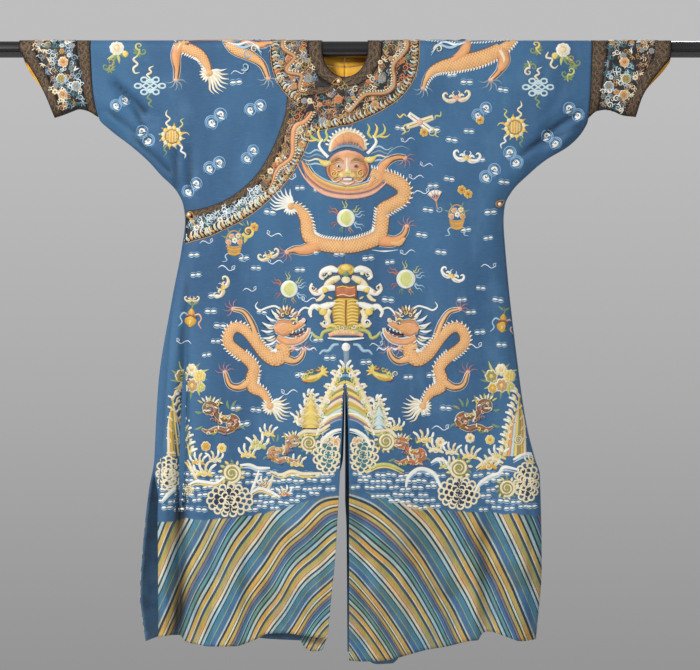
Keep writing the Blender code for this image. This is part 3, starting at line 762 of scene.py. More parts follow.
def dark_silk():
    """Black silk satin, gone brown at its worn places."""
    made = Finish("black_silk_satin", Specular_IOR_Level=0.45, Sheen_Weight=0.1)
    _, _, z = made.place()
    patchy, slubs = made.grain(22, 4.0), made.grain(2.4, 2.0, (6, 6, 0.4))
    colour = made.blend(patchy.step(0.4, 0.75) * 0.8, (18, 18, 22), (46, 40, 38))
    colour = made.blend((slubs - 0.5).size() * 0.5, colour, (84, 80, 78))
    height = (z * 5.0).wave() * 0.4 + slubs * 1.2
    return made.give(Base_Color=colour, Roughness=0.44 + patchy * 0.16,
                     Normal=made.bump(height, 0.3, 0.4))


def lining_silk():
    """Yellow silk inside the robe's upper part, with blue facing below."""
    made = Finish("lining_silk", Specular_IOR_Level=0.4, Sheen_Weight=0.15)
    _, _, z = made.place()
    patchy, slubs = made.grain(38, 3.0), made.grain(3.0, 2.0, (6, 6, 0.4))
    gold = made.blend(patchy.step(0.3, 0.7), (196, 132, 18), (232, 172, 38))
    facing = made.blend(patchy.step(0.3, 0.7), (44, 82, 114), (60, 102, 136))
    colour = made.blend(z.step(-705.0, -695.0), facing, gold)
    colour = made.blend((slubs - 0.5).size() * 0.5, colour, (200, 180, 130))
    height = slubs + (z * 4.0).wave() * 0.4
    return made.give(Base_Color=colour, Roughness=0.42 + patchy * 0.2,
                     Normal=made.bump(height, 0.3, 0.4))


def figured_brocade(name, width, repeat=46.0):
    """A woven trim: gilt scrolls and buds on brown, between dark edges. Its map runs along it."""
    made = Finish(name, Specular_IOR_Level=0.28)
    across, down = made.mark("along")
    side = (across - 0.5) * width
    run = down * PATTERN_RUN
    beat = run / repeat * (2 * math.pi)
    swing = beat.wave() * (width * 0.19)
    stem = (side - swing).size()
    turn = (beat * 2.0 + 0.6).wave() * (width * 0.10)
    second = (side + swing + turn).size()
    bud_run = ((run / (repeat / 2)).part() - 0.5) * (repeat / 2)
    bud = (bud_run * bud_run + (side + swing * 1.15) * (side + swing * 1.15)) ** 0.5
    petals = (bud * 2.3).wave()
    figure = (1.0 - stem.step(0.9, 1.7)).most(1.0 - second.step(0.5, 1.2))
    figure = figure.most((1.0 - bud.step(3.4, 4.4)) * petals.step(-0.4, 0.5))
    flat = made.node("ShaderNodeCombineXYZ", (side, run, 0.0))
    curls = made.node("ShaderNodeTexVoronoi", {"Vector": flat, "Scale": 0.26},
                      feature="DISTANCE_TO_EDGE")
    figure = figure.most((1.0 - curls.step(0.05, 0.13)) * 0.75)
    threads = made.grain(1.3, 2.0, (1, 1, 3))
    worn = made.grain(17, 4.0)
    ground = made.blend(worn, (34, 26, 24), (54, 43, 38))
    gilt = made.blend(threads, (92, 72, 53), (132, 110, 82))
    colour = made.blend(figure * (0.55 + worn * 0.6), ground, gilt)
    edge = (across - 0.5).size().step(0.43, 0.455)
    colour = made.blend(edge, colour, (26, 22, 24))
    height = figure * 1.6 + threads * 0.8 - edge * 0.8
    return made.give(Base_Color=colour, Roughness=0.5 + worn * 0.25,
                     Normal=made.bump(height, 0.5, 0.5))


def lacquer():
    """Black lacquer, with the fine marks of handling."""
    made = Finish("polished_lacquer", Coat_Weight=0.5, Coat_Roughness=0.12, Specular_IOR_Level=0.6)
    marks, cloudy = made.grain(5, 3.0, (14, 1, 1)), made.grain(90, 2.0)
    colour = made.blend(cloudy, (16, 15, 17), (34, 31, 32))
    return made.give(Base_Color=colour, Roughness=0.2 + marks * 0.16,
                     Normal=made.bump(marks, 0.1, 0.2))


def carved_coral():
    """A pale pink bead, veined and handled."""
    made = Finish("pale_coral", Specular_IOR_Level=0.55, Coat_Weight=0.25)
    veins, bands = made.grain(4, 4.0), made.grain(1.6, 2.0, (1, 1, 0.4))
    colour = made.blend(veins.step(0.3, 0.7), (222, 178, 146), (238, 208, 178))
    colour = made.blend(bands.step(0.55, 0.75) * 0.6, colour, (190, 128, 100))
    return made.give(Base_Color=colour, Roughness=0.25 + veins * 0.15,
                     Normal=made.bump(bands, 0.2, 0.2))


def twisted_cord():
    """Yellow silk cord, with its twist running round it."""
    made = Finish("twisted_cord", Specular_IOR_Level=0.4)
    x, _, z = made.place()
    twist = ((x + z) * 4.2 + made.grain(2, 1.0) * 2.0).wave()
    colour = made.blend(twist * 0.5 + 0.5, (146, 98, 36), (220, 172, 84))
    return made.give(Base_Color=colour, Roughness=0.5 + twist * 0.08,
                     Normal=made.bump(twist, 0.5, 0.3))


BLUE_SILK = blue_silk()
BLACK_SILK = dark_silk()
LINING = lining_silk()
NECK_BROCADE = figured_brocade("neck_brocade", 30.0)
BAND_BROCADE = figured_brocade("band_brocade", 19.0, 40.0)
CUFF_BROCADE = figured_brocade("cuff_brocade", 27.0, 34.0)
LACQUER = lacquer()
CORAL = carved_coral()
CORD = twisted_cord()


# The cloth
def lay(name, cloth, outside):
    """A lined wall of cloth from its outer face's places and marks, for the part of this name."""
    places, marks = cloth
    thing = keep(name + "_cloth", grid_mesh(name + "_cloth", places, marks), outside, LINING)
    wall = thing.modifiers.new("wall", "SOLIDIFY")
    wall.thickness = CLOTH * MM
    wall.offset = -1
    wall.material_offset = 1
    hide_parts(name)
    steps = np.linalg.norm(np.diff(places, axis=0), axis=2).sum(axis=0) * MM
    widths = np.linalg.norm(np.diff(places, axis=1), axis=2).sum(axis=1) * MM
    a, b = np.diff(places[:-1], axis=1), np.diff(places[:, :-1], axis=0)
    area = float(np.linalg.norm(np.cross(a, b), axis=2).sum()) * MM * MM
    width, length = (round(float(size.max()) + CUT_EXTRA, 3) for size in (widths, steps))
    area = round(min(area * CUT_SHARE, width * length), 4)


for name, cloth in (("left_body", body(LEFT)), ("right_body", body(RIGHT)), ("overlap", overlap())):
    lay(name, cloth, BLUE_SILK)
lay("overlap_binding", curved_band(0, FLAP_BINDING, 5), BAND_BROCADE)
lay("overlap_band", curved_band(FLAP_BINDING + SEAM_GAP, None, 9), BLACK_SILK)
for half in (LEFT, RIGHT):
    lay("neck_binding_" + half, collar_ring(half, 5, True), NECK_BROCADE)
    lay("collar_" + half, collar_ring(half, 11, False), BLACK_SILK)
    for label, start, end, lines, finish, slot in (
            ("_inner_trim", 0, CUFF_INNER_TRIM, 5, CUFF_BROCADE, "brocade"),
            ("", CUFF_INNER_TRIM, CUFF_OUTER_TRIM, 12, BLACK_SILK, "black_silk"),
            ("_outer_trim", CUFF_OUTER_TRIM, 1, 5, CUFF_BROCADE, "brocade")):
        lay("cuff_" + half + label, cuff_strip(half, start, end, lines), finish)

# Flosses of the needlework: the dye in the middle of a stitched run, and at its sides
FLOSSES = {
    "white": ((238, 235, 224), (190, 200, 200)), "cream": ((230, 218, 184), (190, 172, 134)),
    "pale_blue": ((170, 196, 210), (112, 150, 178)), "sky": ((132, 170, 200), (92, 134, 168)),
    "teal": ((60, 114, 122), (38, 80, 92)), "green": ((118, 144, 98), (74, 102, 74)),
    "lime": ((192, 194, 112), (136, 142, 74)), "gold": ((214, 166, 66), (160, 114, 40)),
    "yellow": ((230, 204, 112), (184, 148, 62)), "orange": ((226, 162, 108), (178, 112, 70)),
    "pink": ((226, 176, 150), (182, 124, 108)), "red_brown": ((152, 88, 60), (100, 56, 42)),
    "mauve": ((146, 116, 130), (100, 78, 96)), "navy": ((26, 44, 72), (16, 28, 50)),
    "black": ((22, 20, 22), (12, 12, 14)), "tan": ((194, 150, 102), (146, 104, 68)),
    "brown": ((126, 90, 66), (84, 60, 48)), "grey_blue": ((128, 150, 164), (90, 112, 130)),
    "scales": ((222, 160, 100), (150, 92, 56)), "pearl": ((206, 208, 130), (236, 238, 214)),
    "cloud": ((236, 240, 240), (124, 162, 190)), "olive": ((154, 146, 84), (104, 100, 62)),
    "old_gold": ((176, 134, 62), (124, 88, 42)), "ice": ((196, 214, 216), (140, 170, 184)),
    "rust": ((196, 112, 66), (146, 78, 50)),
}
ATLAS = 5  # the map's tiles each way, one for each floss
RING_STEP, FINEST_STEP = 3.4, 1.4  # millimetres between the rings of points on a run
RINGS_TO_TILE = 8
MARGIN = 0.04
SUNK = 0.2  # how far a run's sides go into the cloth
LAYER = 0.35
WIDE_RUN = 9  # a wider run has five points across, not three
LOW_CROWN, CROWN_SHARE, HIGH_CROWN = 0.35, 0.075, 1.5  # how far a run's middle stands up
THREADS = 30.0  # to one tile's length


def floss_finish():
    """Satin stitch in silk floss. The map's tile gives the dye, and v runs along the run. It
    carries a little painted shade on the wearer's left half.
    """
    made = Finish("silk_floss", Specular_IOR_Level=0.5, Sheen_Weight=0.1)
    u, v = made.mark("OFBake")
    column, row = u * float(ATLAS), v * float(ATLAS)
    across, down = column.part(), row.part()
    dye = (column.whole() + row.whole() * float(ATLAS) + 0.5) / float(ATLAS * ATLAS)
    width = 1 / len(FLOSSES)
    middle = made.ramp(dye, [(width, pair[0]) for pair in FLOSSES.values()])
    side = made.ramp(dye, [(width, pair[1]) for pair in FLOSSES.values()])
    off_centre = (across - 0.5).size() * 2.0
    colour = made.blend(off_centre ** 2.6, middle, side)
    threads = (down * (THREADS * 2 * math.pi) + off_centre * 2.0).wave()
    scale_row = down * 9.0
    odd = (scale_row.whole() / 2.0).part() * 1.0
    lattice = (across * 4.0 + odd).part() - 0.5
    arc = (lattice * lattice * 4.0 + (scale_row.part() - 0.2) ** 2.0) ** 0.5
    tiles, scales = float(len(FLOSSES)), float(list(FLOSSES).index("scales"))
    scaled = (dye * tiles > scales) * (dye * tiles < scales + 1) * arc.step(0.62, 0.8)
    colour = made.blend(scaled * 0.62, colour, (240, 206, 152))
    x, _, _ = made.place()
    uneven = made.grain(14, 3.0).step(0.3, 0.7) * 0.10
    # Painted shade: the floss is a little darker on the wearer's left half, which is to the right
    # seen from the front
    colour = made.shaded(colour, 0.90 + threads * 0.07 + uneven - (x > 0.0) * 0.05)
    return made.give(Base_Color=colour, Roughness=0.46 + threads * 0.06)


FLOSS = floss_finish()
FLOSS_ORDER = {name: k for k, name in enumerate(FLOSSES)}


def eased(points, step):
    """Evenly spaced points on a smooth line through these."""
    dense = p = np.asarray(points, float)
    if len(p) > 2:
        p = np.vstack([2 * p[0] - p[1], p, 2 * p[-1] - p[-2]])
        t = np.linspace(0, 1, 6)[:-1, None]
        a, b, c, d = p[:-3, None], p[1:-2, None], p[2:-1, None], p[3:, None]
        square, cube = 2 * a - 5 * b + 4 * c - d, 3 * b - a - 3 * c + d
        bends = 0.5 * (2 * b + (c - a) * t + square * t**2 + cube * t**3)
        dense = np.vstack([bends.reshape(-1, 2), p[-2]])
    reach = np.concatenate([[0], np.hypot(*np.diff(dense, axis=0).T).cumsum()])
    at = np.linspace(0, reach[-1], max(2, math.ceil(reach[-1] / step)) + 1)
    return np.stack([np.interp(at, reach, dense[:, 0]), np.interp(at, reach, dense[:, 1])], axis=1)


def normals(line):
    """Which way a line runs at each of its points, and the way to its left."""
    heading = np.gradient(line, axis=0)
    heading /= np.maximum(np.hypot(*heading.T), 1e-9)[:, None]
    return heading, np.stack([-heading[:, 1], heading[:, 0]], axis=1)


FREE_EDGE = np.array([(top_x, top_z) for top_x, top_z, _, _ in FLAP_BAND], float)
CUFFS_ABOVE = -152  # the height below which there is no cuff
FREE_OF_SIDE, FREE_OF_SLIT, FREE_OF_HEM = 1.5, 0.8, 1.5  # millimetres left bare beside an edge
OPENING_LEFT, OPENING_RIGHT = 717.0, 716.0  # the cuffs' openings over the rod
LEAP = 4.0  # no face of the needlework spans more depth than this


def cloth_depth(front, x, z):
    """How far the outermost cloth stands off the middle plane, and where there is no cloth."""
    reach, left = np.abs(x), x >= 0
    depth, bare = np.zeros(x.shape), np.zeros(x.shape, bool)
    under_edge = z < np.interp(reach, FREE_EDGE[:, 0], FREE_EDGE[:, 1])
    on_flap = front & ~left & under_edge & (reach < along(FLAP_SIDE, z) - 1.0)
    for where, half, face in (
            (front & left, LEFT, FRONT), (on_flap, FLAP, FRONT),
            (front & ~left & ~on_flap, RIGHT, FRONT),
            (~front & left, LEFT, BACK), (~front & ~left, RIGHT, BACK)):
        if not where.any():
            continue
        slit, side, hem = OUTLINES[half, face]
        at_x, at_z = reach[where], z[where]
        depth[where] = depth_of(half, face, at_x, at_z)
        beside = np.inf if half == FLAP else along(side, at_z)
        outer = np.where(at_z > CUFFS_ABOVE, along(CUFFS[half][1], at_z), beside)
        in_slit = (at_z < SLIT_TOP + 4) & (at_x < along(slit, at_z) + FREE_OF_SLIT)
        below_hem = at_z < HEM - along(hem, at_x) + FREE_OF_HEM
        bare[where] = (at_x > outer - FREE_OF_SIDE) | in_slit | below_hem
    return depth, bare


def on_cloth(face, u, z, lift):
    """Points this far off the robe, u to the right as someone looking at that face sees it. Above
    0, z is the way over the rod. Also which of them are off the cloth."""
    x = -face * u
    angle = np.clip(z, 0, None) / TOP_RADIUS
    behind = angle > math.pi
    down = np.where(behind, math.pi * TOP_RADIUS - z, np.minimum(z, 0))
    side = np.where(behind, -face, face)
    depth, bare = cloth_depth(side < 0, x, down)
    over = (z > 0) & ~behind
    radius = np.where(over, TOP_RADIUS + lift, 0)
    y = np.where(over, face * radius * np.cos(angle), side * (depth + lift))
    up = np.where(over, radius * np.sin(angle), down)
    reach = np.abs(x)
    opening = np.where(x >= 0, OPENING_LEFT, OPENING_RIGHT)
    bare = np.where(over, (reach > opening) | (reach < NECK_HALF_WIDTH), bare)
    return np.stack([x, y, up], axis=-1), bare


def spread_widths(widths, count):
    """As many widths as this, between those that are given."""
    widths = np.atleast_1d(np.asarray(widths, float))
    return np.interp(np.linspace(0, 1, count), np.linspace(0, 1, len(widths)), widths)


class Needlework:
    """A piece of embroidery, made of stitched runs that lie on one face of the robe."""

    def __init__(self, name, face):
        self.name, self.face = name, face
        self.runs = {3: [], 5: []}

    def run(self, points, width, floss, layer=0, exact=False, step=RING_STEP):
        """A run of stitches along a line, with its widths from start to end."""
        path = np.asarray(points, float) if exact else eased(points, step)
        widths = np.asarray(width, float) if exact else spread_widths(width, len(path))
        _, aside = normals(path)
        columns = 5 if widths.max() > WIDE_RUN else 3
        across = np.linspace(-1, 1, columns)
        spots = path[:, None] + aside[:, None] * (widths[:, None, None] / 2) * across[None, :, None]
        crown = np.minimum(LOW_CROWN + widths * CROWN_SHARE, HIGH_CROWN)
        lift = layer * LAYER - SUNK + (crown + SUNK)[:, None] * (1 - across**2)[None]
        tile = FLOSS_ORDER[floss]
        bounce = np.abs((np.arange(len(path)) / RINGS_TO_TILE + 1) % 2 - 1)
        u = (tile % ATLAS + MARGIN + (1 - 2 * MARGIN) * (across[None] + 1) / 2) / ATLAS
        v = (tile // ATLAS + MARGIN + (1 - 2 * MARGIN) * bounce[:, None]) / ATLAS
        self.runs[columns].append((spots, lift, np.stack(np.broadcast_arrays(u, v), axis=-1)))

    def finish(self):
        """Makes the piece, without the faces that would lie off the cloth."""
        whole = bmesh.new()
        for runs in self.runs.values():
            if not runs:
                continue
            spots, lift, marks = (np.concatenate(part) for part in zip(*runs))
            places, bare = on_cloth(self.face, spots[..., 0], spots[..., 1], lift)
            ends = np.cumsum([len(spots_of) for spots_of, _, _ in runs])[:-1] - 1
            gone = np.zeros((len(places) - 1, places.shape[1] - 1), bool)
            gone[ends] = True
            down = np.abs(np.diff(places[..., 1], axis=0)) > LEAP
            across = np.abs(np.diff(places[..., 1], axis=1)) > LEAP
            gone |= down[:, :-1] | down[:, 1:] | across[:-1] | across[1:]
            gone |= bare[:-1, :-1] | bare[1:, :-1] | bare[:-1, 1:] | bare[1:, 1:]
            part = grid_mesh(self.name, places, {"OFBake": marks}, gone)
            whole.from_mesh(part)
            bpy.data.meshes.remove(part)
        mesh = bpy.data.meshes.new(self.name)
        whole.to_mesh(mesh)
        whole.free()
        mesh.shade_smooth()
        keep(self.name, mesh, FLOSS)


def way(angle):
    """The cosine and the sine of an angle in degrees."""
    return math.cos(math.radians(angle)), math.sin(math.radians(angle))


class Spot:
    """A motif's place on a piece of embroidery: turned in degrees, and mirrored if hand is -1."""

    def __init__(self, work, place, turn=0.0, size=1.0, hand=1):
        self.work, self.place = work, np.array(place, float)
        self.turn, self.size, self.hand = turn, size, hand

    def at(self, points):
        """Places on the work, for places round this one's middle."""
        c, s = way(self.turn)
        turned_by = np.array([[c, s], [-s, c]])
        return np.asarray(points, float) * self.size * (self.hand, 1) @ turned_by + self.place

    def sides(self):
        """This place seen in a mirror, and itself."""
        return [Spot(self.work, self.place, self.turn, self.size, hand * self.hand)
                for hand in (-1, 1)]

    def line(self, points, width, floss, layer=0):
        reach = np.ptp(np.asarray(points, float) * self.size, axis=0).max()
        step = max(min(RING_STEP, 0.34 * reach), FINEST_STEP)
        widths = np.asarray(width, float) * self.size
        self.work.run(self.at(points), widths, floss, layer, step=step)

    def disc(self, u, v, radius, floss, layer=0, flat=1.0):
        """Stitches across a round, from its foot up."""
        turns = np.linspace(0.12, math.pi - 0.12, 7 if radius * self.size < 6 else 12)
        points = np.stack([u + 0 * turns, v - radius * flat * np.cos(turns)], axis=1)
        self.work.run(self.at(points), 2 * radius * self.size * np.sin(turns), floss, layer,
                      exact=True)

    def arc(self, u, v, radius, start, end, width, floss, layer=0, flat=1.0):
        turns = np.radians(np.linspace(start, end, 4 + int(abs(end - start) / 35)))
        points = np.stack([u + radius * np.cos(turns), v + radius * flat * np.sin(turns)], axis=1)
        self.line(points, width, floss, layer)

    def curl(self, u, v, radius, start, width, floss, layer=0, turns=1.3, hand=1):
        at = np.linspace(0, 1, 5 + int(8 * turns))
        angle = np.radians(start) + hand * at * turns * 2 * math.pi
        reach = radius * (1 - 0.82 * at)
        points = np.stack([u + reach * np.cos(angle), v + reach * np.sin(angle)], axis=1)
        self.line(points, width, floss, layer)

    def leaf(self, u, v, angle, length, width, floss, layer=0, bend=0.0):
        c, s = way(angle)
        middle = (u + c * length / 2 - s * bend, v + s * length / 2 + c * bend)
        self.line([(u, v), middle, (u + c * length, v + s * length)],
                  (0.3 * width, width, 0.85 * width, 0.12 * width), floss, layer)


# Small motifs, drawn round their own middle in millimetres
def cloud(s):
    """Two white scrolls, each on a pale blue halo of rings."""
    for k, (u, v) in enumerate(((-10, 8), (10, -7))):
        for radius, start, floss in (
                (6.6, 40, "pale_blue"), (10.2, 150, "sky"), (13.4, 260, "sky")):
            s.arc(u, v, radius, start + 50 * k, start + 50 * k + 320, (1, 3.0, 3.0, 1), floss, 0,
                  1.1)
        s.curl(u - 1, v + 1, 6.4, 200 * k, (5.4, 4.6, 1.6), "white", 3, 1.2)
        s.leaf(u + 4, v - 5, 200, 13, 4.8, "cloud", 2)


def cloudlet(s):
    for u in (-6, 6):
        s.leaf(u - 5.6, 0.4, 0, 11.2, 5.6, "white", 2)
        s.arc(u, 0.6, 7.4, 195, 345, (0.8, 2.6, 0.8), "pale_blue", 0, 0.74)
        s.arc(u, 0.6, 7.6, 25, 155, (0.6, 2.2, 0.6), "sky", 0, 0.74)


def wisp(s):
    s.line([(-16, -2), (-8, 4), (0, 1), (7, -4), (15, 0), (17, 6)], (0.6, 2.6, 2.2, 1.8, 0.8),
           "cloud")
    s.curl(15, 2, 5, 60, (1.6, 0.8), "cloud")


def bat(s, wings, middle):
    """A bat seen from above, its wings curled up at their tips."""
    for side in s.sides():
        side.line([(2, -2), (10, -5), (20, -4), (28, 3), (28, 11), (22, 14), (19, 9)],
                  (8, 11, 9, 7, 6, 5, 2), wings, 1)
        side.line([(6, 3), (12, 7), (16, 3)], (5, 6, 3), wings, 1)
        side.line([(6, -4), (13, -6), (20, -5)], (1, 3, 1), "pink", 4)
        side.line([(4, 5), (8, 12), (4, 16)], (1.4, 2.6, 1), wings, 1)
        side.disc(7, 1, 2.6, middle, 4)
    s.disc(0, 0, 6, middle, 3)
    s.disc(0, 4, 2.6, "pink", 7)


def flower(s, floss, heart="gold", petals=6, radius=8.0, rim="white"):
    for k in range(petals):
        angle = 2 * math.pi * k / petals + 0.3
        u, v = radius * 0.62 * math.cos(angle), radius * 0.62 * math.sin(angle)
        s.disc(u, v, radius * 0.48, rim)
        s.disc(u * 0.94, v * 0.94, radius * 0.35, floss, 2)
    s.disc(0, 0, radius * 0.32, heart, 4)


def flames(s, floss):
    """Two flames that rise from their own foot."""
    for lean in (-4.5, 4.5):
        s.line([(lean * 0.3, 0), (lean + 3, 9.1), (lean - 2, 16.9), (lean * 1.3 + 2, 26)],
               (3.4, 3.0, 2.0, 0.4), floss, 1)
    s.arc(0, 5, 6, 190, 350, (1, 2.6, 1), floss)


def pearl(s, radius):
    s.disc(0, 0, radius, "white", 1)
    s.disc(0, 0, radius * 0.82, "pearl", 3)
    s.arc(0, 0, radius * 0.5, 100, 330, (0.8, 2, 0.8), "lime", 6)
    for angle, floss, far in (
            (150, "rust", 1.2), (95, "lime", 1.0), (40, "lime", 1.0), (330, "pale_blue", 1.2),
            (15, "pale_blue", 1.1), (210, "red_brown", 1.0), (250, "green", 0.8),
            (292, "gold", 0.8)):
        c, t = way(angle)
        foot = s.at([(c * radius * 1.12, t * radius * 1.12)])[0]
        flames(Spot(s.work, foot, angle - 90 + s.turn, s.size * 0.72 * far, s.hand), floss)


def wheel(s):
    """A wheel in a lotus, with its fluttering ribbons."""
    s.line([(-4, 20), (-10, 30), (0, 38), (-8, 48), (-4, 58)], (3, 5.4, 4.2, 5, 1.2), "cream")
    s.line([(12, -18), (20, -26), (15, -33), (25, -41), (22, -50)], (3, 5.2, 4, 4.8, 1), "white")
    s.line([(-12, -18), (-20, -26), (-15, -33), (-23, -42)], (3, 4.6, 3.6, 1), "green")
    s.line([(17, 15), (26, 24), (22, 32), (30, 36)], (3, 4.4, 3.6, 1), "lime")
    s.line([(21, 2), (32, 5), (38, -2)], (2.4, 3.6, 1), "yellow")
    for k in range(12):
        angle = 30 * k + 10
        c, t = way(angle)
        s.disc(18.5 * c, 18.5 * t, 5.4, ("yellow", "cream")[k % 2], 1)
        s.leaf(21 * c, 21 * t, angle + 16, 9, 3.4, ("gold", "lime")[k % 2], 1)
    s.disc(0, 0, 17, "gold", 2)
    for k in range(-2, 3):
        s.line([(-13, 6 * k), (13, 6 * k + 3)], 1.7, "yellow", 5)
        s.line([(6 * k, -13), (6 * k + 3, 13)], 1.7, "cream", 6)
    s.arc(0, 0, 14.5, 0, 358, 2.2, "old_gold", 7)


def endless_knot(s):
    """The woven knot, wider than it is high, with its loops and two tassels."""
    for k in (-1, 0, 1):
        for hand in (-1, 1):
            s.line([(k * 11 - 12, (k * 4 + 9) * hand), (k * 11 + 12, (k * 4 - 9) * hand)], 4.0,
                   "ice", 1 + (hand > 0))
    for u, v, wide, high in (
            (-27, 0, 7, 5), (27, 0, 7, 5), (-13, 13.5, 7, 5.4), (13, 13.5, 7, 5.4),
            (-13, -13.5, 7, 5.4), (13, -13.5, 7, 5.4), (0, 11, 5, 4), (0, -11, 5, 4)):
        s.arc(u, v, wide, 10, 366, 4.0, "ice", 2, high / wide)
    s.line([(0, 17), (-7, 24), (3, 30), (-2, 38), (8, 44)], (3, 5, 4, 4.6, 1.2), "cream", 1)
    s.line([(0, -18), (-6, -26), (3, -32), (-3, -40), (6, -48)], (3, 5, 4, 4.6, 1.2), "green", 1)


def conch(s):
    s.curl(0, 2, 15, 200, (9, 7, 5, 3), "yellow", 1, 1.4)
    s.leaf(-2, -6, 250, 22, 10, "lime", 1)
    s.disc(1, 2, 4, "rust", 4)
    for k in range(4):
        s.leaf(6 - 6 * k, 14 + 2 * (k % 2), 80 + 22 * k, 14, 4, ("green", "lime")[k % 2])


def scroll_leaf(s, floss):
    s.curl(7, 8, 11, 230, (6.4, 5, 2.4), floss, 2, 1.1)
    s.curl(-9, 1, 9, 320, (6, 4.4, 2), "green", 1, 1.1, -1)
    s.line([(0, -20), (-2, -8), (2, 2)], (2, 5.4, 4), floss, 1)
    for angle, length in ((20, 17), (165, 14), (-20, 13), (205, 12)):
        s.leaf(0, -11, angle, length, 6.4, "green", 1)


def peony(s):
    """A full flower, with its bud and broad leaves."""
    for k in range(9):
        c, t = way(40 * k)
        s.disc(9.5 * c, 9.5 * t, 6.2, "white", 2)
        s.disc(8.4 * c, 8.4 * t, 4.4, "cream", 4)
    s.disc(0, 0, 7.4, "cream", 6)
    s.curl(0, 0, 6, 40, (2.4, 1.4), "pink", 9, 1.5)
    s.disc(15, -15, 6.8, "yellow", 1)
    for angle in (205, 240, 275, 320):
        s.leaf(-3, -9, angle, 24, 8, ("green", "lime")[angle % 2], 0, 2)


def clappers(s):
    for angle, floss in ((28, "cream"), (152, "white")):
        c, t = way(angle)
        s.line([(-24 * c, -24 * t), (0, 0), (24 * c, 24 * t)], (9, 11, 9), floss, 1)
        s.line([(-20 * c, -20 * t), (20 * c, 20 * t)], 1.6, "old_gold", 5)
    s.disc(0, 0, 5, "pink", 5)
    s.curl(-20, -14, 8, 90, (3, 1), "lime")
    s.curl(22, -14, 8, 90, (3, 1), "yellow", hand=-1)


def basket(s):
    for k in range(4):
        rim, foot = -3 - 4 * k, -6 - 4 * k
        s.line([(-13 + k, rim), (0, foot), (13 - k, rim)], 4.2, ("tan", "gold")[k % 2], 1)
    s.arc(0, 0, 14, 5, 175, 2.4, "tan", 1, 1.6)
    for u, v, floss in ((-9, 3, "pink"), (1, 6, "white"), (10, 3, "orange"), (-4, 13, "pink"),
                        (7, 14, "cream")):
        flower(Spot(s.work, s.at([(u, v)])[0], 20 * u, s.size * 0.62), floss)
    for angle in (20, 60, 120, 160):
        s.leaf(0, 6, angle, 24, 5, "green")
    for side in s.sides():
        side.line([(8, -14), (15, -20), (12, -28), (20, -30)], (2, 3, 1), "pale_blue")


def gourd(s):
    s.line([(0, -19), (0, -14), (0, -6), (0, 0), (0, 6), (0, 12)], (3, 19, 21, 8, 13, 4), "gold", 1)
    s.line([(-1, -14), (0, -8)], (3, 7), "yellow", 6)
    s.line([(0, 12), (2, 19), (-2, 24)], (3, 2.4, 1), "green", 2)
    for side, floss in zip(s.sides(), ("pale_blue", "pink")):
        side.line([(3, 0), (13, 4), (18, -4), (14, -12), (20, -20)], (2, 4, 2.4, 3, 1), floss)
        side.leaf(0, 18, 30, 13, 4.6, "green")
    s.line([(-9, -1), (0, 1), (9, -1)], 3, "red_brown", 6)


def fan_motif(s):
    s.arc(0, 0, 14, 40, 140, 9, "white", 1)
    for k in range(5):
        c, t = way(45 + 22 * k)
        s.line([(0, -3), (18 * c, 18 * t)], (1, 2), "pink", 5)
    s.line([(0, 0), (0, -18)], (3, 2), "tan", 1)
    s.curl(4, -18, 6, 180, (2.6, 1), "pale_blue")


# Dragons
def pale_leg(work, path, widths, layer):
    """A leg worked in two tones."""
    outlined(work, path, widths, "orange", layer)
    work.run(path, np.array(widths, float) * 0.5, "cream", layer + 2)


def outlined(work, path, widths, floss, layer=1):
    """A run with a dark line and a white rim round it."""
    for wider, dye, at in ((4.8, "white", -1), (2.8, "brown", 0), (0, floss, 1)):
        work.run(path, np.array(widths, float) + wider, dye, layer + at)


def teeth(work, path, widths, side, floss="white", apart=6.2, length=5.4, layer=1):
    """Spines along one side of a run, and a dark line down the other."""
    line = eased(path, apart)
    widths = spread_widths(widths, len(line))
    heading, aside = normals(line)
    outward = aside * side
    for point, ahead, out, width in zip(line, heading, outward, widths):
        foot = point + out * width * 0.46
        work.run([foot, foot + (out - ahead * 0.6) * length], (4.2, 1.6), floss, layer + 2,
                 step=2.8)
    for share, sizes, dye in (
            (0.5, (0.5, 1.7, 0.5), "brown"), (0.24, (0.4, 1.5, 1.5, 0.4), "rust")):
        work.run(line - outward * widths[:, None] * share, sizes, dye, layer + 2, step=6)


def claws(work, foot, angle, size=1.0, floss="mauve"):
    """A foot with its claws spread round an angle."""
    s = Spot(work, foot, angle, size)
    s.disc(0, 0, 5, "pink", 3)
    for spread in (-78, -40, -4, 34, 76):
        c, t = way(spread)
        s.line([(3 * c, 3 * t), (13 * c - 4 * t, 13 * t + 4 * c), (23 * c, 23 * t)],
               (3.4, 3.0, 0.6), floss, 2)


def tail_fan(work, place, angle, size, hand, floss="cream"):
    """The tail's tuft: long spikes that bend over to one side, and short ones round the other."""
    s = Spot(work, place, angle, size)
    for k in range(8):
        c, t = way((-24 + 17 * k) * hand)
        s.line([(6 * c - 6, 6 * t), (19 * c - 2, 18 * t), (28 * c + 3, 26 * t - 2 * hand),
                (38 * c + 6, 32 * t + 5 * hand)], (5, 5.2, 4, 0.8), (floss, "white")[k % 2], 3)
    for k in range(8):
        short = -40 - 19 * k
        c, t = way(short * hand)
        s.leaf(7 * c - 4, 7 * t, (short - 14) * hand, 14, 5, (floss, "white")[k % 2], 3)
    s.disc(-4, 0, 8, "scales", 4)


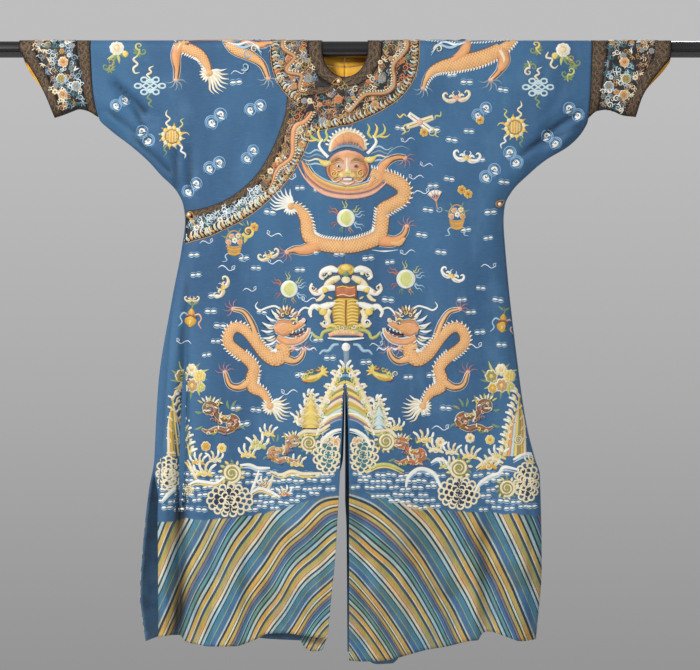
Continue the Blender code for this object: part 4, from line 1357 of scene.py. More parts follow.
def dragon_head(work, place, hand):
    """A dragon's head from the side. It looks to the right, or to the left if hand is -1."""
    s = Spot(work, place, 0, 1.1, hand)
    for k, (u, v) in enumerate(((-24, 27), (-32, 20), (-37, 11), (-38, 1), (-36, -9), (-32, -18),
                                (-26, -27), (-18, -34))):
        s.leaf(u + 5, v, 138 + 13 * k, 25, 5.4, ("white", "cloud")[k % 2], 3, 3)
        s.leaf(u + 7, v - 4, 144 + 13 * k, 19, 4.4, ("cream", "grey_blue")[k % 2], 2, 3)
        s.leaf(u + 4, v - 3, 142 + 13 * k, 26, 4, "navy", 0, 3)
    upper = [(-31, 2), (-21, 5), (-6, 8), (6, 10), (17, 12), (28, 18)]
    lower = [(-26, -12), (-10, -20), (8, -21), (25, -15), (36, -3), (38, 7)]
    for jaw, widths in ((upper, (12, 34, 33, 21, 13, 10)), (lower, (10, 15, 14, 12, 8, 3))):
        for wider, floss, layer in ((3.4, "white", 3), (0.6, "brown", 4), (-1.4, "orange", 6)):
            s.line(jaw, np.array(widths) + wider, floss, layer)
    s.curl(-14, 4, 12, 60, (3.4, 3, 1.6), "pink", 9, 1.4)
    s.curl(3, -1, 6, 150, (2.6, 1.4), "yellow", 9, 1.1, -1)
    s.line([(-22, 14), (-12, 19), (0, 17), (10, 14)], (1, 3, 3, 1), "tan", 9)
    s.line([(-2, -6), (10, -7), (22, -3), (32, 5)], (2, 7, 9, 3), "navy", 8)
    s.line([(2, -9), (14, -10), (25, -5), (31, 2)], (1, 3.4, 3.4, 1), "rust", 10)
    for u in (5, 12, 19, 26):
        s.leaf(u, 0.3 * u - 1.5, 272, 5, 2.8, "white", 12)
    for u in (12, 20, 28):
        s.leaf(u, 0.55 * u - 20, 88, 4, 2.6, "white", 12)
    s.line([(-20, -17), (-4, -23), (14, -23), (29, -13)], (1, 2.6, 2.6, 1), "pink", 9)
    s.line([(0, 22), (8, 25), (15, 20)], (2, 5, 2), "yellow", 11)
    s.disc(8, 16, 4.6, "brown", 10, 0.8)
    s.disc(8, 16, 3.4, "white", 12, 0.7)
    s.disc(9, 15.8, 1.8, "black", 14)
    s.disc(27, 22, 5.0, "pink", 9)
    s.curl(27, 22, 4.6, 180, (2.4, 1.2), "white", 12)
    s.line([(-20, 26), (-14, 38), (-2, 42), (8, 31)], (9, 15, 13, 5), "brown", 3)
    for k in range(9):
        s.leaf(-24 + 4.2 * k, 31 + 9 * math.sin(0.42 * k), 146 - 16 * k, 13, 4.4,
               ("white", "cream", "tan")[k % 3], 6)
    for k, (u, v) in enumerate(((-14, 32), (-5, 37), (3, 33))):
        s.curl(u, v, 4.6, 60 + 70 * k, (2.6, 2, 1), ("cream", "yellow", "white")[k], 7, 1.1)
    s.line([(5, 27), (13, 34), (13, 44)], (6, 7, 2), "mauve", 5)
    s.line([(-12, 38), (-29, 50), (-46, 47), (-60, 42), (-69, 50), (-64, 59)],
           (2.4, 4, 4, 3.8, 3.4, 1.2), "white", 4)
    s.line([(13, 22), (17, 36), (29, 47), (42, 42), (42, 31)], (3, 4, 4, 3.6, 1.4), "white", 4)
    s.line([(36, 2), (44, -6), (40, -16), (47, -22)], (2, 3, 2.4, 0.8), "pale_blue", 3)
    for k, floss in enumerate(("pale_blue", "white", "grey_blue", "cloud")):
        s.line([(-8 + 12 * k, -30), (2 + 12 * k, -37), (12 + 12 * k, -33), (23 + 10 * k, -39)],
               (2, 4, 3, 0.8), floss, 2)


def small_dragon(s, floss):
    """A little water dragon curled up among leaves: its head and its body are two coils."""
    for u, v, angle, length in (
            (30, 16, 60, 22), (38, 10, 25, 18), (24, 16, 100, 20), (-34, -22, 200, 20),
            (-36, 8, 170, 16), (2, 24, 75, 18), (46, -22, -30, 15), (-2, -36, 190, 18)):
        s.leaf(u, v, angle, length, 7, ("green", "olive")[angle % 2], 0, 2)
    link = [(-6, 6), (4, -3), (16, -6), (30, -2)]
    tail = [(36, -26), (18, -32), (-2, -28), (-22, -34), (-36, -28)]
    for extra, dye, layer in ((3, "cream", 1), (0, floss, 3)):
        s.line(link, (9 + extra, 13 + extra, 13 + extra, 9 + extra), dye, layer)
        s.line(tail, (10 + extra, 12 + extra, 11 + extra, 8 + extra, 2 + extra), dye, layer)
        coil = (10 + extra, 9 + extra, 7 + extra, 4 + extra)
        s.curl(-19, 16, 16, -40, coil, dye, layer + 1, 1.5)
        s.curl(30, -15, 15, 100, coil, dye, layer + 1, 1.4, -1)
    s.curl(-19, 16, 12.5, -30, (2.6, 2, 1.2), "tan", 8, 1.3)
    s.curl(30, -15, 11.5, 110, (2.6, 2, 1.2), "rust", 8, 1.2, -1)
    s.line(tail, (1, 2.4, 1), "rust", 7)
    s.disc(-24, 24, 3, "white", 9)
    s.disc(-24, 24, 1.4, "black", 11)
    for k in range(6):
        s.leaf(-34 + 5.4 * k, 29 + 4 * math.sin(0.6 * k), 150 - 22 * k, 13, 5,
               ("lime", "cream", "white")[k % 3], 3)
    for angle in (20, 65, 300):
        s.leaf(2, -4, angle, 16, 5, "cream", 6)
    curls = ("cream", "pink", "old_gold", "mauve", "yellow")
    for k, (u, v) in enumerate((
            (-30, 10), (-14, 4), (-24, 30), (-6, 14), (12, -2), (22, -2), (40, -12), (34, -28),
            (14, -36), (-4, -32), (-22, -38), (24, -18), (4, -14), (-12, -8), (-2, 28))):
        s.curl(u, v, 4.6, 70 * k, (3.4, 2.6, 1), curls[k % 5], 10, 1.1, (-1) ** k)
        s.leaf(u + 5, v + 3, 50 * k, 9, 3.6, ("white", "rust", "cream")[k % 3], 9)


def fish_dragon(s):
    path = [(-24, -6), (-10, -6), (6, -3), (18, 5), (22, 14)]
    s.line(path, (9, 19, 18, 13, 5), "green", 1)
    s.line(path, (6, 15, 14, 10, 4), "yellow", 3)
    s.line([(-18, -8), (-4, -8), (10, -3)], (2, 5, 2), "gold", 7)
    s.disc(-16, 0, 6.4, "lime", 6)
    s.disc(-16, 1, 2, "black", 9)
    s.line([(-26, -8), (-18, -12), (-8, -13)], (1, 3, 1), "rust", 8)
    for k in range(5):
        s.curl(-12 + 8 * k, 10 + 2.4 * k, 6, 200, (4, 3, 1.4), ("gold", "lime", "brown")[k % 3], 3,
               1.0)
    for angle in (40, 80, 5, -30):
        s.leaf(18, 8, angle, 17, 6, "yellow", 4)
    s.curl(-30, 2, 7, 300, (3, 1), "cream", 1)


# Sea and rocks at the foot of the field
LOOPS_APART = 15.4


def finger(s, u, v, angle, length, floss="white"):
    """One crest of foam: a bent stem that swells to a round tip, with a thin line up its foot."""
    c, t = way(angle)
    stem = [(u + far * c - aside * t, v + far * t + aside * c)
            for far, aside in ((0, 0), (0.5 * length, 2.8), (length, 0), (length + 3, -1.5))]
    s.line(stem, (7.4, 5.2, 6.8, 4), floss, 3)
    s.line(stem[:2], (2.6, 1.0), "yellow", 6)


def foam(s, floss):
    """A breaking crest: a coloured root with fingers spread over it."""
    s.line([(-17, -5), (-5, 1), (7, -1), (19, -7)], (7, 11, 10, 4), floss, 2)
    s.curl(1, 0, 7.5, 200, (4, 3, 1.6), "cream", 5, 1.2)
    for u, v, angle, length in (
            (-12, 2, 128, 17), (-4, 5, 104, 21), (5, 5, 78, 18), (12, 1, 54, 21)):
        finger(s, u, v, angle, length, ("cream", "white")[length % 2])


def wave(work, points, width=7.0, floss="white", inner="ice"):
    """A long crest of the sea, with a paler or yellow line below it."""
    work.run(points, (width * 0.5, width, width, width, width * 0.6), floss, 3)
    lower, thin = np.asarray(points, float) - (0, width * 0.85), width * 0.55
    work.run(lower, (1, thin, thin, 1), inner, 1)


def whirl(s):
    for k in range(13):
        angle = 27.7 * k
        c, t = way(angle)
        s.leaf(20 * c, 20 * t, angle + 24, 11, 7, ("yellow", "lime", "cream", "green")[k % 4], 1)
    s.disc(0, 0, 21.5, "olive", 2)
    s.curl(0, 0, 21, 250, (6.4, 6.2, 5.4, 4), "cream", 5, 2.2)


def rosette(work, place, half_width, half_height, ground):
    """A round of looped cords, ring within ring, on a dark ground."""
    Spot(work, place).disc(0, 0, half_width * 0.86, ground, 0, half_height / half_width)
    round_it = 2 * math.pi * math.hypot(half_width, half_height) / math.sqrt(2)
    for share in (0.88, 0.62, 0.37, 0.12):
        count = max(4, round(share * round_it / LOOPS_APART))
        for k in range(count):
            angle = 2 * math.pi * (k + share * 3) / count
            out = np.array([half_width * math.cos(angle), half_height * math.sin(angle)])
            facing = math.degrees(math.atan2(out[1], out[0]))
            loop = Spot(work, place + out * share, facing)
            loop.arc(0, 0, 6.2, -150, 150, (2.8, 4.2, 4.4, 4.2, 2.8), "cream", 3, 1.12)


def hill(s, wide, high, floss="yellow", hatch="gold"):
    """A pointed rock, hatched, with foam up its sides."""
    for hand in (-1, 1):
        for k in range(7):
            share = k / 6
            u, v = hand * wide * (0.5 - 0.44 * share), high * (0.06 + 0.98 * share)
            lean = 62 - 40 * share + 24 * (k % 2 - 0.5)
            finger(s, u, v, 90 - hand * lean, 9 + 5 * (k % 2))
            s.curl(u, v - 3, 5, 90 - 90 * hand, (4.6, 3.6, 1.6), "cream", 6, 1.1, hand)
    path = [(0, -4), (0, high * 0.22), (0, high * 0.62), (0, high)]
    s.line(path, (wide * 0.82, wide, wide * 0.60, 5), "cream", 4)
    s.line(path, (wide * 0.82 - 6, wide - 6, wide * 0.60 - 5, 2), floss, 6)
    for k in range(int(high / 7)):
        half, up = wide * 0.42 * (1 - 7 * k / high) ** 0.7, 7 * k
        s.line([(-half, up - 4), (0, up + 5), (half, up - 4)], 2.2, (hatch, "cream", "lime")[k % 3],
               9)


def side_rock(work, foot, top, hand):
    """A tall rock beside the vent: slanting stripes, edged with branching foam."""
    foot, rise = np.array(foot, float), np.subtract(top, foot)
    stripes = ("cream", "gold", "olive", "yellow", "ice", "orange", "yellow", "green")
    for k, floss in enumerate(stripes):
        shift, drop = hand * (k * 6.6 - 22), 14 * abs(k - 2.5)
        work.run([foot + (shift * 1.1, 0), foot + rise / 2 + (shift * 0.8, 0),
                  foot + rise + (shift * 0.3, -drop)], (6.8, 6.4, 2.4), floss, 1 + k % 2)
    for share in np.linspace(0.06, 1.0, 9):
        s = Spot(work, foot + rise * share + (hand * (28 - 22 * share), 0), 0, 1.0, hand)
        finger(s, -7, -5, 38, 21)
        finger(s, -1, 0, 74, 13, "cream")
    for share in np.linspace(0.25, 0.95, 5):
        s = Spot(work, foot + rise * share - (hand * (22 - 20 * share), 0), 0, 0.8, -hand)
        finger(s, -2, -3, 48, 15, "cream")


# The layout: places are u and z in millimetres, u to the right as someone facing the robe sees it
PATTERN_MIDDLE = 3.3


def frontal_head(work):
    """The chest dragon's head, seen from the front, with its crest, mane and whiskers."""
    s = Spot(work, (7, -267))
    for inset, floss, widths, layer in (
            (0, "cream", (3, 24, 37, 38, 32, 12), 0), (0, "orange", (2, 21, 34, 35, 29, 9), 1),
            (-13, "pink", (1, 5, 9, 9, 7, 1), 4), (-6, "mauve", (1, 3, 4, 4, 3, 1), 5),
            (2, "tan", (1, 3, 5, 5, 4, 1), 5), (8, "yellow", (1, 3, 4, 4, 3, 1), 5),
            (13, "pale_blue", (1, 3, 4, 4, 3, 1), 5)):
        most, half, least = 0.8 * inset, 0.5 * inset, 0.4 * inset
        s.line([(-102 + inset, 20), (-84 + most, -12 + half), (-50 + least, -37 + inset),
                (0, -47 + inset), (48 - least, -38 + inset), (84 - most, -12 + half)],
               widths, floss, layer)
    s.line([(-40, 40), (-28, 62), (-3, 76), (25, 68), (38, 44)], (8, 27, 33, 27, 8), "cream", 1)
    s.line([(-38, 40), (-27, 60), (-3, 73), (24, 66), (36, 43)], (6, 21, 27, 21, 6), "orange", 3)
    for k in range(9):
        c, t = way(150 - 15 * k)
        s.line([(-2 + 24 * c, 38 + 20 * t), (-2 + 38 * c, 40 + 36 * t)], (1, 2.2),
               ("pink", "tan")[k % 2], 7)
    for k in range(15):
        angle = 163 - 10.4 * k
        c, t = way(angle)
        s.leaf(-2 + 42 * c, 42 + 44 * t, angle, 9, 5, "white", 5)
    s.line([(-38, 40), (-20, 50), (-2, 53), (18, 50), (35, 41)], (3, 6, 6, 6, 3), "grey_blue", 6)
    s.line([(-34, 46), (-16, 56), (0, 58), (20, 54), (34, 45)], (1, 4, 4, 4, 1), "mauve", 5)
    s.disc(-1, 3, 49, "brown", 2, 0.86)
    s.disc(-1, 3, 47, "pink", 4, 0.86)
    s.disc(-1, 3, 42, "orange", 6, 0.84)
    s.disc(-1, 12, 30, "pink", 9, 0.52)
    s.disc(-2, -13, 22, "pink", 10, 0.66)
    sides = Spot(work, (5, -267)).sides()
    for side in sides:
        side.disc(11, -12, 8, "yellow", 12, 0.7)
    for side, iris in zip(sides, ("cream", "rust")):
        for k, (floss, wide) in enumerate((("olive", 2.6), ("rust", 1.6), ("lime", 1.6))):
            side.line([(36, 18 - 3 * k), (20, 26 - 4 * k), (7, 19 - 3 * k)], (1, wide, 1), floss,
                      15)
        side.disc(19, 8, 5.0, iris, 14, 0.7)
        side.disc(19, 8, 2.4, "black", 17)
        s.arc(-2 + 20 * side.hand, 4, 10, 200, 340, (1, 2.0, 1), "yellow", 15, 0.7)
        side.curl(30, -8, 9, 90, (2.4, 2.4, 1.2), "yellow", 14, 1.4)
        side.curl(9, -7, 4.6, 90, (3, 2, 1), "yellow", 16, 1.0)
        side.line([(12, -14), (24, -15), (35, -22)], (2, 3, 1), "lime", 13)
        side.line([(16, -22), (27, -27), (36, -20)], (1.4, 3, 1), "cream", 13)
        side.line([(38, 12), (42, 0), (37, -14)], (1, 2.6, 1), "rust", 12)
    s.line([(-2, 28), (-3, 16), (-2, 4), (-2, -3)], (2, 5, 6, 12), "cream", 14)
    s.line([(-11, -7), (-2, -4), (7, -7)], (5, 8, 5), "yellow", 15)
    s.line([(-17, -15), (-2, -12), (14, -15)], (2, 5, 2), "lime", 14)
    s.line([(-14, -19), (-2, -18), (11, -19)], (4, 7, 4), "mauve", 15)
    s.line([(-11, -21), (8, -21)], 4.4, "white", 18)
    s.line([(-15, -27), (-2, -31), (12, -27)], (3, 6, 3), "cream", 14)
    for ear in (Spot(work, (-37, -239), hand=-1), Spot(work, (49, -231))):
        ear.line([(0, 0), (12, 12), (20, 26), (12, 40)], (7, 7, 6, 3), "white", 4)
        ear.line([(-6, -12), (7, -14), (20, -6)], (9, 15, 4), "yellow", 6)
        ear.curl(6, -14, 6, 90, (3, 1.4), "cream", 9, 1.0)
        for k, floss in enumerate(("lime", "yellow", "lime")):
            tip = 2 + 17 * k
            ear.line([(10 + 3 * k, 34), (tip, 44), (tip + 3, 56), (tip - 2, 66)], (5, 6.4, 5, 1.2),
                     floss, 3)
        ear.line([(24, 38), (40, 36), (50, 42)], (4, 4.6, 1), "yellow", 3)
        for k in range(4):
            ear.line([(8, 8 - 9 * k), (26, 16 - 10 * k), (42, 8 - 8 * k), (56, 14 - 9 * k)],
                     (2, 4.4, 3, 0.8), ("pale_blue", "grey_blue", "cream")[k % 3], 1)


def chest_dragon(work):
    body = [(57, -272), (79, -280), (103, -287), (128, -305), (128, -327), (106, -342), (84, -355),
            (81, -382), (73, -413), (33, -430), (-2, -435), (-51, -430), (-79, -413), (-86, -377),
            (-103, -351), (-123, -346)]
    widths = (20, 26, 30, 31, 30, 30, 31, 31, 33, 32, 31, 31, 30, 29, 22, 10)
    for path, sizes, angle in (
            ([(79, -289), (81, -263), (99, -245), (119, -239), (132, -241)],
             (22, 20, 15, 12, 9), -60),
            ([(77, -421), (108, -424), (130, -408), (136, -391)], (26, 22, 13, 9), 70),
            ([(-59, -432), (-90, -443), (-112, -443), (-128, -448)], (26, 24, 16, 7), 215),
            ([(64, -285), (51, -302), (37, -311)], (16, 12, 8), 250)):
        outlined(work, path, sizes, "orange", 2)
        claws(work, path[-1], angle, 1.05)
    outlined(work, body, widths, "scales")
    for part, side in ((slice(7), 1), (slice(6, None), -1)):
        teeth(work, body[part], widths[part], side, "white", 6.4, 6.4)
    work.run([(101, -428), (119, -428), (132, -417)], (8, 15, 6), "scales", 6)
    tail_fan(work, (-123, -346), 172, 1.0, -1, "white")
    frontal_head(work)
    pearl(Spot(work, (2, -373)), 20)
    work.run([(86, -245), (103, -223), (125, -215), (143, -223)], (1, 4, 3, 1), "grey_blue")
    work.run([(-84, -424), (-88, -404), (-101, -395)], (3, 4, 1), "pale_blue")
    work.run([(59, -443), (86, -446), (117, -443)], (1, 4, 1), "cloud")


def mirrored(points, hand):
    """Places as they are for hand 1, or on the other side of the pattern's middle for hand -1."""
    return [(u if hand > 0 else 2 * PATTERN_MIDDLE - u, z) for u, z in points]


def skirt_dragons(work):
    body = ((-134, -646), (-136, -668), (-152, -683), (-174, -672), (-191, -652), (-207, -632),
            (-224, -617), (-242, -613), (-255, -626), (-257, -646), (-244, -661), (-224, -676),
            (-207, -692), (-200, -707), (-205, -727), (-202, -745), (-183, -756), (-172, -771),
            (-161, -789))
    widths = (26, 32, 33, 30, 27, 25, 23, 22, 23, 24, 24, 24, 24, 25, 28, 28, 22, 16, 9)
    near = ((((-134, -681), (-112, -688), (-97, -679), (-90, -663)), 62),
            (((-209, -732), (-231, -745), (-253, -740), (-264, -712)), 92))
    far = ((((-194, -641), (-205, -606), (-222, -580), (-246, -573)), 148),
           (((-152, -654), (-130, -663), (-114, -659)), 20))

    def legs(limbs, sizes):
        for path, angle in limbs:
            leg = mirrored(path, hand)
            outlined(work, leg, sizes, "scales", 2)
            claws(work, leg[-1], angle if hand > 0 else 180 - angle)

    for hand in (1, -1):
        back = mirrored(body, hand)
        legs(far, (15, 13, 9, 6))
        outlined(work, back, widths, "scales")
        teeth(work, back[:12], widths[:12], -hand)
        teeth(work, back[11:], widths[11:], hand)
        legs(near, (17, 14, 10, 6))
        tail_fan(work, back[-1], -40 if hand > 0 else 220, 1.0, hand)
        dragon_head(work, mirrored([(-121, -622)], hand)[0], hand)
    pearl(Spot(work, (-123, -529), size=0.95), 20)
    pearl(Spot(work, (134, -507)), 21)


def shoulder_dragons(work):
    """Two dragons over the sleeves: a foreleg, the tail end and a hind leg come down in front."""
    body = ((-183, 28), (-222, 32), (-271, 34), (-319, 32), (-354, 23), (-359, 6), (-339, -3),
            (-317, -16), (-304, -38), (-297, -58))
    widths = (24, 28, 30, 30, 29, 27, 26, 25, 20, 11)
    limbs = (([(-363, 10), (-372, -16), (-370, -43), (-372, -69)], (24, 20, 13, 8), 268),
             ([(-262, 32), (-244, 1), (-209, -16), (-183, -34), (-169, -65)],
              (26, 24, 21, 14, 8), 262),
             ([(-231, 28), (-196, 10), (-165, 14)], (20, 18, 12), 300))
    along_top = [(172, -87), (180, -65), (200, -45), (244, -34), (288, -25), (323, -12), (352, 6),
                 (370, 25)]
    along_widths = (8, 16, 28, 36, 36, 34, 30, 24)
    foreleg = [(341, -3), (350, -25), (339, -50), (321, -69)]

    def manes(hand):
        for k, floss in enumerate(("grey_blue", "cloud", "pale_blue")):
            mane = np.array([(-279, 19), (-249, 14), (-218, 23), (-183, -3)])
            mane = mane + np.array([[9, 0], [11, -6], [9, -8], [0, -6]]) * k
            work.run(mirrored(mane, hand), (2, 6, 5, 1), floss, 6)
            tip = Spot(work, mirrored([mane[3]], hand)[0], 30 * k, 1, hand)
            tip.curl(-16 - 12 * k, 2 + 9 * k, 10, 80 * k, (4, 3, 1.4),
                     ("cream", "sky", "pale_blue")[k], 7, 1.2)

    for path, sizes, angle in limbs:
        if len(path) > 4:
            outlined(work, path, sizes, "scales", 2)
        else:
            pale_leg(work, path, sizes, 2)
        claws(work, path[-1], angle, 1.05, "grey_blue")
    outlined(work, body, widths, "scales")
    teeth(work, body, widths, -1)
    tail_fan(work, body[-1], -66, 1.05, 1)
    manes(1)
    pale_leg(work, [(218, -41), (244, -23), (264, -3), (271, 23)], (3, 18, 22, 15), 1)
    outlined(work, along_top, along_widths, "scales")
    teeth(work, along_top, along_widths, -1)
    claws(work, along_top[0], 262, 1.0, "grey_blue")
    pale_leg(work, foreleg, (28, 24, 12, 7), 3)
    claws(work, foreleg[-1], 262, 1.2, "grey_blue")
    manes(-1)


CLOUDS = (
    (-495, -120), (-440, -193), (-284, -155), (-198, -131), (-288, -258), (-209, -234),
    (-337, -307), (301, -140), (370, -241), (455, -201), (319, -276), (504, -140))
CLOUDLETS = (
    (-154, -410), (-332, -454), (-328, -498), (-196, -483), (-211, -531), (-295, -578),
    (-275, -610), (-284, -644), (-354, -646), (-304, -674), (-70, -448), (-13, -452), (139, -448),
    (169, -410), (273, -182), (229, -287), (158, -283), (235, -58), (268, -74), (348, -91),
    (167, -316), (321, -360), (315, -417), (211, -448), (315, -479), (299, -527), (277, -580),
    (297, -624), (282, -654), (345, -652), (139, -723), (191, -718), (180, -256), (194, -302),
    (-59, -311), (-99, -307), (-125, -285), (-165, -360), (-99, -487), (-183, -580), (-77, -553),
    (95, -553), (117, -619), (-59, -641), (68, -652), (-99, -718), (-33, -681), (46, -690),
    (-121, -756), (-196, -795), (-222, -826), (222, -791), (209, -835), (266, -399), (183, -355),
    (350, -294), (-152, -470), (99, -470), (51, -461), (-222, -461), (-262, -483), (-288, -544),
    (257, -553), (337, -553), (-306, -426), (297, -245), (235, -201), (196, -179), (139, -201),
    (121, -175), (-240, -791), (178, -804), (-235, -52), (-240, -74))


def clouds(work):
    draw = random.Random(7)
    for place in CLOUDS:
        cloud(Spot(work, place, draw.uniform(-18, 18), draw.uniform(0.88, 1.06),
                   draw.choice((-1, 1))))
    for k, place in enumerate(CLOUDLETS):
        s = Spot(work, place, draw.uniform(-10, 10), draw.uniform(0.85, 1.15), draw.choice((-1, 1)))
        cloudlet(s) if k % 4 else wisp(s)


def emblems(work):
    """The lucky emblems of the field, between the dragons."""
    for place in ((-429, -82), (425, -85)):
        endless_knot(Spot(work, place))
    for place, turn, hand in (((-381, -193), 6, 1), ((374, -173), -8, -1)):
        wheel(Spot(work, place, turn, 1.02, hand))
    for place, turn, hand in (((-502, 1), 10, 1), ((480, -3), -10, -1)):
        peony(Spot(work, place, turn, 1.05, hand))
    for place, turn, hand, floss in (
            ((-519, -38), 20, 1, "olive"), ((-451, -3), -30, -1, "lime"),
            ((504, -30), -10, -1, "olive"), ((420, 1), 40, 1, "yellow"),
            ((407, -43), 200, 1, "cream"), ((491, -56), 0, 1, "lime")):
        scroll_leaf(Spot(work, place, turn, 0.86, hand), floss)
    for place, turn in (((-460, -34), 0), ((453, -25), 30)):
        s = Spot(work, place, turn)
        s.line([(4, 18), (-6, 10), (4, 0), (-6, -9), (-2, -20), (8, -18)], (2, 5, 4.4, 5, 4, 1.4),
               "cream", 1)
    clappers(Spot(work, (165, -162), -8, 1.3))
    for k, place in enumerate(((125, -148), (205, -148), (130, -179), (200, -186))):
        s = Spot(work, place, 40 * k, 0.9, (1, -1)[k % 2])
        s.line([(-12, 4), (-4, -4), (4, 4), (12, -2)], (1.4, 4.4, 4.4, 1.4),
               ("yellow", "lime")[k % 2], 1)
    for place in ((-244, -430), (246, -373)):
        basket(Spot(work, place, 0, 1.3))
    fan_motif(Spot(work, (200, -333), 10, 1.2))
    conch(Spot(work, (-213, -404), 0, 0.9))
    for place in ((-339, -588), (348, -600)):
        gourd(Spot(work, place, -6, 1.3))
    for place, turn, size in (
            ((246, -109), 6, 1.0), ((268, -241), -8, 1.0), ((-167, -457), 20, 0.8),
            ((-268, -527), 62, 0.86), ((235, -501), -24, 0.9), ((-337, -553), 0, 0.55)):
        bat(Spot(work, place, turn, size), ("cream", "white")[turn < 0],
            ("yellow", "pink")[turn == 6])
    for middle in (Spot(work, (-341, -729)), Spot(work, (341, -729))):
        for angle in range(0, 360, 30):
            c, t = way(angle)
            middle.leaf(10 * c, 8 * t, angle, 30 + angle % 11, 8,
                        ("green", "lime", "olive")[angle // 30 % 3], 0, 3)
        for u, v, floss, radius in (
                (-19, 8, "olive", 14), (4, -12, "tan", 15), (21, 8, "yellow", 14),
                (3, 22, "cream", 13), (-16, -18, "gold", 11), (24, -16, "lime", 10)):
            flower(Spot(work, middle.at([(u, v)])[0]), floss, "yellow", 7, radius, "cream")
    for place in ((-200, -393), (271, -320), (174, -184), (297, -157), (257, -311)):
        flower(Spot(work, place), "gold", "rust", 6, 9.4, "yellow")
    for place, hand in (((-70, -721), 1), ((81, -718), -1)):
        fish_dragon(Spot(work, place, hand=hand))


def centre_emblem(work):
    """The canopy and jar between the pearls, with its bats and ribbons."""
    s = Spot(work, (2, -553))
    s.line([(0, -106), (1, -128), (-1, -148)], (15, 13, 8), "grey_blue")
    s.disc(0, -104, 9.5, "white", 2)
    s.curl(0, -104, 6, 0, (3, 2), "pink", 4)
    for side in s.sides():
        for path, widths, floss, layer in (
                ([(18, 64), (33, 68), (50, 63), (56, 51), (48, 45)], (9, 16, 13, 8, 5), "white", 2),
                ([(13, 50), (27, 44), (41, 35), (47, 27)], (9, 16, 14, 7), "cream", 1),
                ([(24, 26), (42, 26), (56, 18), (68, 14), (78, 24), (74, 36)],
                 (11, 16, 15, 11, 7, 5), "white", 2),
                ([(48, 12), (56, 2), (66, -2)], (8, 9, 4), "cream", 1),
                ([(22, -8), (40, -12), (56, -18), (70, -14), (80, -26), (76, -38)],
                 (9, 13, 17, 12, 8, 5), "white", 1),
                ([(34, -22), (42, -36), (38, -50), (47, -58), (56, -50)],
                 (9, 14, 11, 8, 5), "cream", 2),
                ([(8, 58), (16, 66), (12, 74)], (7, 8, 3), "lime", 3),
                ([(14, -68), (34, -66), (50, -72), (56, -84), (68, -80), (76, -70)],
                 (6, 6, 6, 5, 5, 1.6), "lime", 2),
                ([(18, -62), (32, -56), (44, -62)], (6, 7, 3), "yellow", 3),
                ([(16, -98), (28, -100), (38, -112), (50, -112), (58, -120)],
                 (2, 5, 5, 4, 1), "pale_blue", 1)):
            edge = "brown" if floss in ("white", "cream") else floss
            side.line(path, np.array(widths) + 2.4, edge, layer)
            side.line(path, widths, floss, layer + 2)
        for u, v, radius, floss in (
                (46, 22, 8, "yellow"), (50, -27, 9.5, "yellow"), (36, 58, 5, "cream"),
                (58, -20, 5, "lime"), (30, 40, 5, "yellow"), (63, 18, 4, "pink")):
            side.disc(u, v, radius, floss, 7, 0.8)
        for u, v, radius, floss in (
                (49, 56, 8, "cream"), (72, 26, 7, "cream"), (46, -50, 7, "white")):
            side.curl(u, v, radius, 90 - 90 * side.hand, (3.4, 3, 1.6), floss, 8, 1.2)
        for k in range(4):
            side.leaf(30 + 3 * k, 2 - 11 * k, 30 - 10 * k, 11, 5, ("yellow", "cream")[k % 2], 4)
    s.disc(0, 66, 20, "gold", 5, 0.66)
    s.disc(0, 70, 13, "yellow", 9, 0.5)
    s.disc(0, 57, 8, "green", 8, 0.8)
    s.disc(0, 44, 10, "cream", 6, 0.8)
    s.line([(-24, 18), (24, 18)], 31, "brown", 5)
    s.line([(-21, 18), (21, 18)], 24, "rust", 8)
    for k in range(3):
        up = 9 * k
        s.line([(-20, up + 9), (-6, up + 12), (8, up + 8), (20, up + 11)], 2.2,
               ("cream", "mauve", "yellow")[k], 12)
    s.line([(0, 4), (0, -8), (0, -30), (0, -52), (0, -60)], (44, 58, 62, 56, 46), "gold", 4)
    for k in range(8):
        v = -2 - 7.2 * k
        for side in s.sides():
            side.line([(3, v - 2), (14, v + 1.4), (27, v - 1)], (3.4, 4.6, 3), "yellow", 9)
    s.line([(0, 0), (-1, -30), (0, -56)], 2.6, "red_brown", 12)
    s.line([(-32, -64), (0, -58), (32, -64)], (8, 17, 8), "olive", 4)
    for k in range(7):
        s.curl(-27 + 9 * k, -62 + 3 * (k % 2), 5.6, 200, (3.4, 2.6, 1.4),
               ("lime", "yellow", "cream")[k % 3], 8)
    s.line([(-38, -78), (-18, -72), (18, -72), (38, -78)], (8, 14, 14, 8), "pink", 5)
    for k in range(6):
        s.leaf(-25 + 10 * k, -76, 90, 9, 7, ("yellow", "lime")[k % 2], 8)
    s.line([(-40, -84), (0, -87), (40, -84)], (3, 7, 3), "white", 8)


